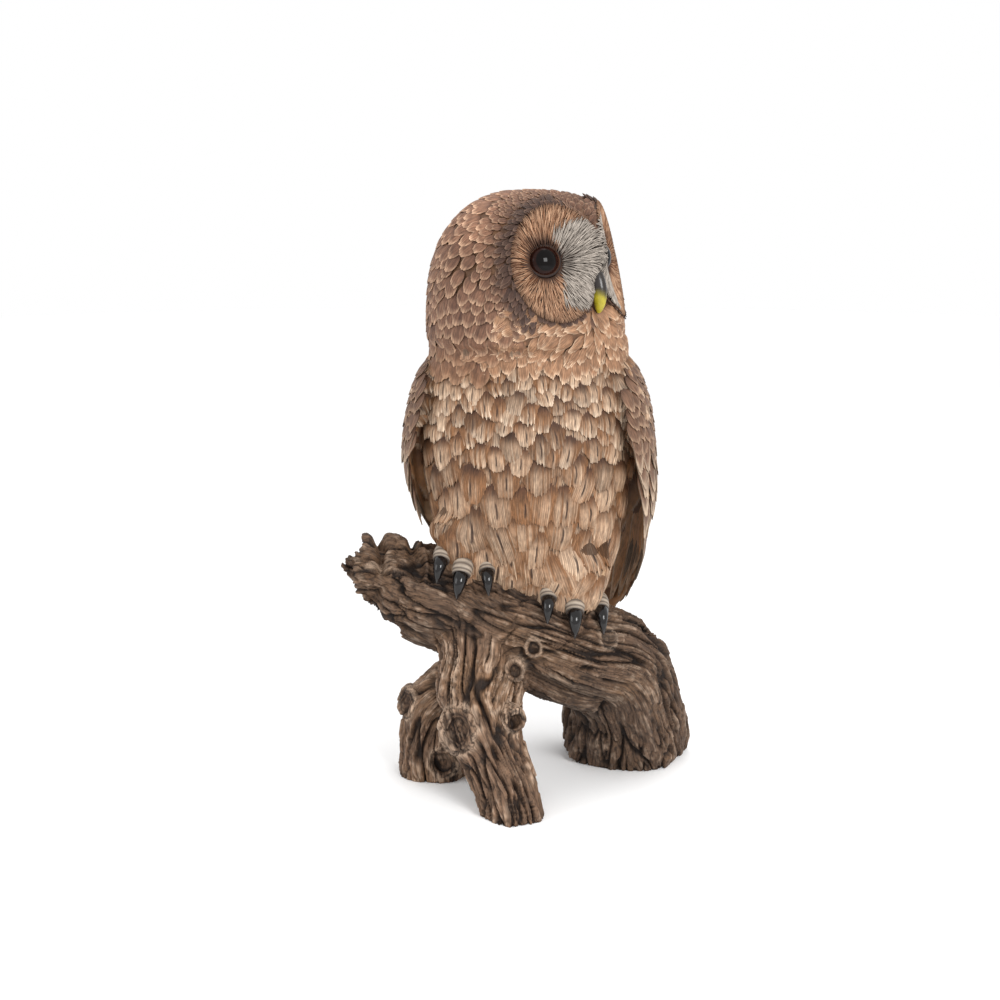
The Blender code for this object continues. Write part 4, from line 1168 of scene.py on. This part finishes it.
def fused(name, nodes, voxel, rounds):
    """One smooth closed surface round these nodes, as points in millimetres and square faces."""
    points, faces, count = [], [], 0
    for node in nodes:
        mesh = frame["nodes"][node].data
        points.append(read(mesh.vertices, "co", 3) * 1000)
        faces += [tuple(v + count for v in p.vertices) for p in mesh.polygons]
        count += len(mesh.vertices)
    mesh = bpy.data.meshes.new(name)
    mesh.from_pydata([tuple(p) for p in np.concatenate(points)], [], faces)
    obj = added(name, mesh)
    for kind, values in (("WELD", dict(merge_threshold=0.01)),
                         ("DISPLACE", dict(strength=SWELL, mid_level=0.0)),
                         ("REMESH", dict(mode="VOXEL", voxel_size=voxel)),
                         ("SMOOTH", dict(iterations=rounds, factor=0.5))):
        modifier = obj.modifiers.new(kind.lower(), kind)
        for key, value in values.items():
            setattr(modifier, key, value)
    done = obj.evaluated_get(bpy.context.evaluated_depsgraph_get()).to_mesh()
    co, normal = read(done.vertices, "co", 3), read(done.vertex_normals, "vector", 3)
    quads = read(done.loops, "vertex_index", 4, np.int32, len(done.loops))
    bpy.data.objects.remove(obj, do_unlink=True)
    bpy.data.meshes.remove(mesh)
    return perch(co / 1000), spun(normal.astype(float), -TURN), quads


def seam_corners(share):
    """Shares round an axis for each face's corners, with no face across the seam."""
    across = share.max(1) - share.min(1) > 0.5
    share[across] -= (share[across] > 0.5) * 1.0
    return share


def owl_skin(material):
    points, n, quads = fused("owl_skin_form", FLESH, SKIN_VOXEL, SKIN_ROUNDS)
    x, y, turn = body_turn(points)
    z, out = points[:, 2], np.hypot(x, y)
    _, _, reach = disc_place(points)
    thin = (turn > 70) & (z < 232) & (out > 52) | (z < 100) & (y > 20)
    depth = np.where(reach < 1.05, 0.5, np.where(thin, 0.7, SKIN_DEPTH))
    skin = points - n * depth[:, None]
    high = (skin[:, 2] > 195) & (reach > 1.2)
    belly = (turn < 66) | (turn < 88) & (skin[:, 2] > 108) & (skin[:, 2] < 150) & (out < 54)
    for some, place in ((high, on_mantle), (~high & belly & (skin[:, 2] > 84), on_shell)):
        under = place(skin, -SKIN_DEPTH)
        proud = np.hypot(*(skin - AXIS)[:, :2].T) > np.hypot(*(under - AXIS)[:, :2].T)
        skin = np.where((some & proud & (reach > 1.2))[:, None], under, skin)
    outward = turned(np.stack([x, y, 0 * x], -1)) - turned(np.zeros(3))
    inner = thin * step(205, 185, z) * step(0.65, 0.25, np.sum(n * unit(outward), 1))
    share = turn / 60 + (z - 130) / 75 + 0.04 * noise(points, 12.0)
    blade = (share * 3.4) % 1
    under = washed(mix(WING_INNER, (0.20, 0.095, 0.045), step(0.15, 0.95, blade)),
                   (WING_CREAM, 0.8 * step(0.16, 0.04, blade) * step(0.0, 0.03, blade)))
    front = step(110, 90, turn) * step(165, 150, z) * (1 - thin)
    body = (out < 57) & (turn < 105) & (z > 105) & (z < 150)
    # the skin's dark brown is painted shade for the gaps between feathers and below the hem, darkest under
    # the discs; the wings' inner faces get their underside pattern and the body's front a tan
    colour = washed(mix((0.075, 0.034, 0.017), (0.17, 0.085, 0.042), 0.5 + 0.5 * noise(points, 5.0)),
                    (WING_MID, 0.6 * thin), (under, inner),
                    ((0.43, 0.27, 0.155), np.maximum(front, body)), (DISC_DARK, (reach < 1.05) * 0.8))
    u, v = shell_uv(points).T
    u = 0.02 + (seam_corners(u[quads]) + 0.1) * 0.86
    v = 0.02 + 0.96 * np.clip(v, 0, 1)
    piece("owl_skin", skin, [quads], colour, material, "feathers",
          uv=np.stack([u, v[quads]], -1).reshape(-1, 2), replaces=FLESH)


def turned_body(name, rings, colours, material, slot, replaces):
    """A closed body through rings of points, each end drawn to its middle."""
    count, around = rings.shape[:2]
    points, colours = (np.concatenate([v.reshape(-1, 3), v[0].mean(0)[None], v[-1].mean(0)[None]])
                       for v in (rings, colours))
    quads = ring_faces(count, around)
    j = np.arange(around)
    k = (j + 1) % around
    last = (count - 1) * around
    ends = np.concatenate([np.stack([k, j, 0 * j + count * around], 1),
                           np.stack([j + last, k + last, 0 * j + count * around + 1], 1)])
    a, b, c, d = (points[quads[:, corner]] for corner in range(4))
    volume = np.sum(np.cross(a, b) * c) + np.sum(np.cross(a, c) * d)
    faces = [f[:, ::-1].copy() if volume < 0 else f for f in (quads, ends)]
    return piece(name, points, faces, colours, material, slot, replaces=replaces)


def make_eyes(material, lid_material):
    for side, label in ((1, "right"), (-1, "left")):
        mirror = np.array((1, side, 1))
        facing = DISC_FACING * mirror
        across = np.cross((0, 0, 1), facing)
        across /= np.linalg.norm(across)
        rise = np.cross(facing, across)

        def at_eye(ahead, aside, up):
            """Points by the eye's centre from places ahead of it, across and up."""
            local = EYE_CENTRE * mirror + (ahead[..., None] * facing + aside[..., None] * across
                                           + up[..., None] * rise)
            return to_head(*np.moveaxis(local, -1, 0))
        polar = np.linspace(0.02, math.pi - 0.02, 40)[:, None]
        around = circle(64)
        rings = at_eye(EYE_RADIUS * np.cos(polar) - 1.2, EYE_RADIUS * np.sin(polar) * np.cos(around),
                       EYE_RADIUS * np.sin(polar) * np.sin(around))
        iris = step(0.60, 0.66, polar + 0 * around) * step(1.3, 0.9, polar + 0 * around)
        streaks = noise(np.stack([np.cos(around) + 0 * polar, np.sin(around) + 0 * polar,
                                  0.1 * polar + 0 * around], -1), 0.06)
        colour = mix((0.003, 0.002, 0.002), (0.020, 0.006, 0.004), iris * (0.8 + 0.3 * streaks))
        turned_body("eye_" + label + "_gloss", rings, colour, material, "eye", ["eye_" + label])
        tube = circle(12)
        loop = circle(72)[:, None]
        size = 8.5 + 0.8 * np.cos(tube) + 0 * loop
        rings = at_eye(3.5 + 0.8 * np.sin(tube) + 0.35 * (1 - np.cos(loop * 2)), size * np.cos(loop),
                       (size - 0.9) * np.sin(loop))
        colour = mix((0.018, 0.009, 0.007), (0.20, 0.085, 0.04),
                     0.8 * step(-0.55, -0.95, np.cos(tube) + 0 * loop))
        quads = ring_faces(*rings.shape[:2], closed=True)
        piece("eyelid_" + label, rings.reshape(-1, 3), [quads if side < 0 else quads[:, ::-1].copy()],
              colour.reshape(-1, 3), lid_material, "face")


def make_bill(material):
    rows = smooth_rows(BEAK_LINE, np.linspace(0, 1, 44))
    ways = np.gradient(rows[:, :2], axis=0)
    out = np.stack([-ways[:, 1], ways[:, 0]], 1) / np.linalg.norm(ways, axis=1)[:, None]
    angles = circle(28)
    keel = rows[:, 3:4] * np.cos(angles) * np.where(np.cos(angles) > 0, 1.15, 0.9)
    rings = to_head(rows[:, 0:1] + keel * out[:, 0:1], rows[:, 2:3] * np.sin(angles),
                    rows[:, 1:2] + keel * out[:, 1:2])
    s = np.linspace(0, 1, 44)[:, None] + 0 * angles
    tip = step(0.50, 0.68, s + 0.10 * np.abs(np.sin(angles)) + 0.02 * noise(rings, 2.0))
    colour = washed(mix((0.022, 0.017, 0.015), (0.36, 0.30, 0.022), tip),
                    ((0.16, 0.14, 0.05), step(0.93, 1.0, s) * 0.5))
    turned_body("bill", rings, colour, material, "bill", ["beak"])


# Along a toe and its talon: degrees round the branch, height over it and thickness
TOE_ROWS = ((6, 3.2, 0.8), (13, 3.9, 0.92), (22, 5.2, 1.08), (33, 6.2, 1.18), (42, 5.4, 1.04))
TALON_ROWS = ((36, 4.4, 0.85), (39.5, 5.4, 1.06), (45, 6.3, 1.14), (51, 6.2, 1.0), (57, 4.6, 0.70),
              (61.5, 2.4, 0.38), (65, 0.9, 0.08))


def digit_rings(toe, rows, size, count, swell=1.0, raised=0.0):
    """Rings of points along a toe or a talon, whose radius is multiplied by swell and then raised."""
    place, sideways, share, held = toe
    line = []
    for lean, height, radius in rows:
        point = on_branch(place, math.radians(lean - held), height * share)
        point[0] += sideways * (lean - 16) / 30
        line.append((*point, size * radius * share, size * radius * share))
    rows, _, side, rise = tube_frame(line, count)
    angles = circle(20)
    radius = rows[:, 3:4] * swell + raised + 0 * angles
    return rows[:, None, :3] + (radius * np.cos(angles))[..., None] * side[:, None] + (
        radius * np.sin(angles))[..., None] * rise[:, None]


def make_feet(toe_paint, horn):
    s = np.linspace(0, 1, 50)[:, None] + np.zeros(20)
    scute = np.sin(math.pi * np.clip((s * 10.0) % 1 * 1.15, 0, 1))
    toe_colour = washed(mix((0.10, 0.075, 0.058), (0.40, 0.33, 0.26), step(0.1, 0.85, scute) * 0.85),
                        ((0.05, 0.04, 0.035), step(0.90, 1.0, s) * 0.8))
    t = np.linspace(0, 1, 40)[:, None] + np.zeros(20)
    horn_colour = mix((0.006, 0.005, 0.005), (0.06, 0.05, 0.045),
                      0.8 * step(0.10, 0.0, t) + 0.5 * step(0.7, 1.0, t))
    for label, toes in FEET.items():
        for number, toe in enumerate(toes, 1):
            name = f"{label}_{number}"
            rings = digit_rings(toe, TOE_ROWS, 4.5, 50, raised=(0.24 * scute - 0.1) * 1.2)
            turned_body("toe_skin_" + name, rings, toe_colour, toe_paint, "toe", ["toe_" + name])
            rings = digit_rings(toe, TALON_ROWS, 3.5, 40, swell=1 + 0.10 * step(0.12, 0.0, t))
            turned_body("claw_" + name, rings, horn_colour, horn, "horn", ["talon_" + name])


# ---------------------------------------------------------------- the log

WOOD = {"branch": "log_branch", "arch": "log_arch", "arch_foot": "log_arch", "front_leg": "log_legs",
        "left_leg": "log_legs", "knot_large": "log_legs", "knot_side": "log_legs",
        "knot_left": "log_legs", "knot_low": "log_legs", "knot_front": "log_branch",
        "knot_slit": "log_branch", "knot_top": "log_branch"}


def limb_places(points):
    """For each limb: how far points are from its surface, and their places in its own directions."""
    found = []
    for stations in (BRANCH, FRONT_LEG, LEFT_LEG):
        rows, along, side, rise = tube_frame(stations, 90)
        length = np.concatenate([[0], np.cumsum(np.linalg.norm(np.diff(rows[:, :3], axis=0), axis=1))])
        index = np.empty(len(points), int)
        for start in range(0, len(points), 20000):
            part = points[start:start + 20000]
            index[start:start + 20000] = np.argmin(
                np.sum((part[:, None] - rows[None, :, :3]) ** 2, 2) / (rows[None, :, 3] ** 2), 1)
        away = points - rows[index, :3]
        a, b = np.sum(away * side[index], 1), np.sum(away * rise[index], 1)
        l = length[index] + np.sum(away * along[index], 1)
        off = np.hypot(a / rows[index, 3], b / rows[index, 4]) * rows[index, 3] - rows[index, 3]
        found.append((off, a, b, l))
    return found


def bark_relief(a, b, l, seed):
    """Height of bark, about 0 in its cracks and 1 on its ridges, at places along a limb."""
    p = np.stack([a, b, l], -1) + seed * 31.7
    bend = np.stack([noise(p, 20, 20, 45), noise(p + 50, 20, 20, 45), 0 * l], -1) * 4.0
    q = p + bend + 0.35 * np.stack([noise(p, 4, 4, 9), noise(p + 9, 4, 4, 9), 0 * l], -1)
    first, second = np.abs(noise(q, 9.0, 9.0, 70.0)), np.abs(noise(q + 9, 4.4, 4.4, 38.0))
    broad = np.clip(first * 5.0, 0, 1) ** 0.7
    middle = np.clip(second * 4.5, 0, 1) ** 0.7
    fine = np.clip(np.abs(noise(q + 23, 2.4, 2.4, 24.0)) * 4.0, 0, 1)
    hair = noise(q + 71, 1.1, 1.1, 6.0)
    plates = (0.45 * step(-0.02, 0.02, noise(q + 5, 8.0, 8.0, 26.0))
              + 0.25 * step(0.02, 0.06, noise(q + 37, 5.0, 5.0, 15.0))
              + 0.3 * step(-0.03, 0.03, noise(q + 63, 14.0, 14.0, 40.0)))
    some = step(-0.15, 0.15, noise(p + 77, 14.0, 14.0, 26.0))
    crack = np.maximum(step(0.10, 0.035, first), step(0.15, 0.05, second) * some)
    return broad, middle, fine, hair, plates, crack, q


def make_log(material):
    points, n, quads = fused("log_form", list(WOOD), LOG_VOXEL, LOG_ROUNDS)
    limbs = limb_places(points)
    off = np.stack([np.abs(limb[0]) for limb in limbs])
    weight = np.exp(-off / 2.2)
    weight /= weight.sum(0)
    barks = [bark_relief(limb[1], limb[2], limb[3], k + 1) for k, limb in enumerate(limbs)]
    broad, middle, fine, hair, plates, crack = [
        sum(w * bark[k] for w, bark in zip(weight, barks)) for k in range(6)]
    grain = np.stack([bark[6] for bark in barks])[np.argmin(off, 0), np.arange(len(points))]
    x, y, z = points.T
    stub = step(-42, -70, x) * step(85, 95, z)
    under = step(-0.1, -0.8, n[:, 2])
    calm = step(10, 30, y) * step(85, 70, z)
    height = (1.1 * (broad - 0.85) + 0.75 * (middle - 0.8) + 0.6 * (fine - 0.7) + 0.12 * hair
              + (2.3 - 0.9 * calm) * (plates - 0.40) - 2.2 * crack)
    height *= 1 - 0.45 * under
    lobes = noise(points, 34.0, 8.5, 8.5)
    height += stub * (3.0 * np.clip(np.abs(lobes) * 3.2, 0, 1) - 1.9)
    # the torn end: rings and a split, and its hanging lip
    cut = step(-0.5, -0.85, n[:, 0]) * step(-66, -74, x) * step(85, 95, z)
    a0, b0 = limbs[0][1], limbs[0][2]
    r0 = np.hypot(a0, b0)
    split = np.abs(noise(np.stack([a0, b0, 0.2 * r0], -1) / np.maximum(r0, 3.0)[:, None] * 30 + 3, 9.0))
    rings_at = 0.45 * np.cos(r0 * 2.1 + 2.5 * noise(points, 6.0)) + 0.3 * np.cos(r0 * 0.7)
    height = height * (1 - cut) + cut * (rings_at - 1.9 * step(0.12, 0.03, split) + 0.9 * noise(points, 5.0))
    low_side = step(0.1, -0.4, n[:, 2]) * step(82, 88, z) * step(-0.7, -0.4, n[:, 0])
    height += low_side * (2.8 * bell((x, -57, 4.5), power=4) - 2.6 * bell((x, -68, 5.0), power=4))
    # a hollow on the arch's shoulder, and fuller inner sides for the arch's foot and the left leg's
    height -= 2.6 * bell((x, 83, 8), (z, 82, 12)) * step(30, 10, y)
    height += 3.0 * step(-0.2, -0.7, n[:, 0]) * step(52, 42, x) * step(34, 28, z) * step(15, 25, y)
    height += 2.4 * bell((x, -20, 6), (z, 5, 8), (y, -4, 14))
    # gaps and humps across the branch's top
    top = step(0.1, 0.6, n[:, 2]) * step(112, 118, z)
    bent = x + 0.25 * (y + 20) + 3.0 * noise(points, 9.0)
    for gap_at, wide, deep in ((-59.5, 2.6, 6.0), (-42.0, 2.2, 4.0)):
        height -= top * deep * bell((bent, gap_at, wide))
    for at, wide, high in ((-70.0, 7.0, 2.4), (-51.0, 6.0, 2.2), (-38.0, 2.0, 2.4)):
        height += top * high * bell((bent, at, wide), power=4)
    lip, dim = np.zeros(len(points)), np.zeros(len(points))
    for centre, facing, radius in KNOTS:
        away = points - np.array(centre)
        facing = unit(np.array(facing))
        flat = away - (away @ facing)[:, None] * facing
        flat[:, 2] *= 0.82
        r = np.linalg.norm(flat, axis=1) / radius * (1 + 0.16 * noise(points, 6.0))
        near = (np.abs(away @ facing) < radius * 1.3) * step(1.55, 1.1, r)
        curl = np.cos(r * radius * (1.9 if radius < 7 else 2.4) + 3.0 * noise(points, 4.0))
        curl = curl * step(0.95, 0.8, r)
        height = height * (1 - 0.8 * near) + near * (
            0.4 * curl - 0.8 * crack + (0.7 + 0.08 * radius) * bell((r, 1.0, 0.16)) - 1.2 * step(0.8, 0.4, r))
        lip = np.maximum(lip, near * bell((r, 1.0, 0.18)))
        dim = np.maximum(dim, near * np.maximum(step(-0.1, -0.7, curl), 0.55 * step(0.9, 0.6, r)))
    height = np.clip(height, -5.0, 3.6)
    height = np.where(z < 2.5, np.minimum(height, 0.4), height)
    moved = points + n * height[:, None]
    moved[:, 0] += (2.4 * weight[1] + 0.8 * weight[2]) * step(45, 5, z)
    moved[:, 2] = np.maximum(moved[:, 2], 0.02)
    tone = 0.5 + 0.5 * noise(points, 22.0)
    level = 0.30 * broad + 0.27 * middle + 0.17 * fine + 0.10 * (0.5 + 0.5 * hair) + 0.16 * plates
    pale = step(0.80, 0.99, level + 0.14 * (tone - 0.5) + 0.12 * noise(points, 3.0))
    colour = washed(mix(WOOD_DARK, WOOD_MID, step(0.25, 0.80, level)),
                    (WOOD_WARM, 0.55 * step(0.35, 0.9, tone)),
                    (WOOD_DARK, np.maximum(0.95 * crack, 0.6 * step(0.35, 0.08, fine))),
                    (WOOD_LIGHT, pale * 0.65), (WOOD_LIGHT, 0.6 * lip * step(0.1, 0.7, fine)),
                    # faces turned downwards (under) are painted darker, as painted shade
                    (WOOD_DARK, 0.75 * dim), (WOOD_DARK, 0.5 * under))
    colour = colour * (1.10 + 0.55 * (weight[1] + weight[2]))[:, None]
    limb = np.argmin(off, 0)[quads[:, 0]]
    far = (limbs[0][3][quads[:, 0]] > 128) & (limb == 0)
    for name, some in (("log_branch", (limb == 0) & ~far), ("log_arch", far), ("log_legs", limb > 0)):
        used, faces = np.unique(quads[some], return_inverse=True)
        faces = faces.reshape(-1, 4)
        uv = np.zeros((len(faces), 4, 2))
        for k, (base, span) in enumerate(((0.0, 0.98), (0.0, 0.48), (0.52, 0.46))):
            _, a, b, l = limbs[k]
            own = limb[some] == k
            if own.any():
                corners = quads[some][own]
                angle = seam_corners(np.arctan2(b[corners], a[corners]) / (2 * math.pi) + 0.5)
                uv[own] = np.stack([base + 0.01 + (angle + 0.1) / 1.15 * span, l[corners]], -1)
        low, high = uv[..., 1].min(), uv[..., 1].max()
        uv[..., 1] = 0.01 + 0.98 * (uv[..., 1] - low) / (high - low)
        piece(name, moved[used], [faces], colour[used], material, "wood", uv=uv.reshape(-1, 2),
              grain=grain[used] * np.array((1.5, 1.5, 0.13)),
              replaces=[node for node, owner in WOOD.items() if owner == name])


# ---------------------------------------------------------------- stage

FLOOR_RADIUS = 2.6                     # metres
LIGHTS = (("key", (430.0, -760.0, 560.0), 0.34, 5.8), ("side", (-700.0, -350.0, 400.0), 0.45, 1.6),
          ("top", (60.0, 200.0, 850.0), 0.45, 1.2))
CAMERA_RISE, CAMERA_AWAY, CAMERA_HEIGHT = math.radians(12), 900, 153.8
FOCAL_PIXELS, PICTURE_PIXELS, SENSOR = 1714, 1000, 36

def make_stage():
    mesh = bpy.data.meshes.new("floor")
    ring = [(FLOOR_RADIUS * math.cos(a), FLOOR_RADIUS * math.sin(a), 0.0)
            for a in circle(64)]
    mesh.from_pydata(ring, [], [tuple(range(64))])
    floor = added("floor", mesh)
    material, sky = bpy.data.materials.new("floor_white"), bpy.data.worlds.new("studio")
    mesh.materials.append(material)
    floor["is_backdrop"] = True
    bpy.context.scene.world = sky
    for owner, node, key, value in ((material, "Principled BSDF", "Base Color", (1, 1, 1, 1)),
                                    (material, "Principled BSDF", "Roughness", 0.9),
                                    (sky, "Background", "Color", (1, 1, 1, 1)),
                                    (sky, "Background", "Strength", 1.0)):
        owner.use_nodes = True
        owner.node_tree.nodes[node].inputs[key].default_value = value

    def aimed(name, data, place, target):
        """A light or a camera at a place, turned to a target, both in millimetres."""
        obj = added(name, data)
        obj.location = Vector(world(place))
        obj.rotation_mode = "QUATERNION"
        obj.rotation_quaternion = (Vector(world(target)) - obj.location).to_track_quat("-Z", "Y")
        return obj
    for name, place, size, power in LIGHTS:
        light = bpy.data.lights.new(name, "AREA")
        light.size, light.energy = size, power
        aimed(name, light, place, (0.0, 0.0, 150.0))
    camera = bpy.data.cameras.new("camera")
    camera.lens, camera.sensor_width = FOCAL_PIXELS * SENSOR / PICTURE_PIXELS, SENSOR
    place = (0.0, -CAMERA_AWAY * math.cos(CAMERA_RISE), CAMERA_HEIGHT + CAMERA_AWAY * math.sin(CAMERA_RISE))
    bpy.context.scene.camera = aimed("camera", camera, place, (0.0, 0.0, CAMERA_HEIGHT))
    bpy.context.scene.view_settings.view_transform = "Standard"


def main():
    clear_old()
    feather = painted("plumage_paint", 0.62, bump=0.2, lines=0.38)
    face = painted("face_paint", 0.7, bump=0.05)
    wood = painted("wood_paint", 0.68, bump=0.5, grain=700.0, lines=0.5)
    scute = painted("toe_paint", 0.55)
    horn = painted("horn_gloss", 0.14, bump=0.02, coat=0.4, specular=0.2)
    bill = painted("bill_gloss", 0.28, bump=0.03, coat=0.15)
    eye = painted("eye_gloss", 0.03, bump=0.0, coat=0.18, specular=0.04)
    owl_skin(feather)
    coat("coat_head", [head_scales(), median_scales()], feather)
    coat("coat_chin", [chin_curls()], feather)
    coat("coat_face_right", disc_strands(1), face, "face")
    coat("coat_face_left", disc_strands(-1), face, "face")
    coat("coat_ruff", rim_ruff(1) + rim_ruff(-1), feather)
    names = ("coat_hem", "coat_belly", "coat_flank", "coat_breast", "coat_throat")
    for name, part in zip(names, front_shells()):
        coat(name, part, feather)
    coat("coat_back", [back_scales()], feather)
    for side, label in ((1, "left"), (-1, "right")):
        coat("coat_wing_" + label, wing_coat(side), feather)
        coat("coat_blades_" + label, blades(side), feather)
    coat("coat_tail", tail_blades(), feather)
    make_eyes(eye, face)
    make_bill(bill)
    make_feet(scute, horn)
    make_log(wood)
    make_stage()
    for name, node in frame["nodes"].items():
        if not node.data.materials or not node.data.materials[0]:
            node.data.materials.append(wood)
    ({"cad": [list(map(float, c)) for c in CAD_BOX],
               "visual": [list(map(float, c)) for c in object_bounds()]})


main()
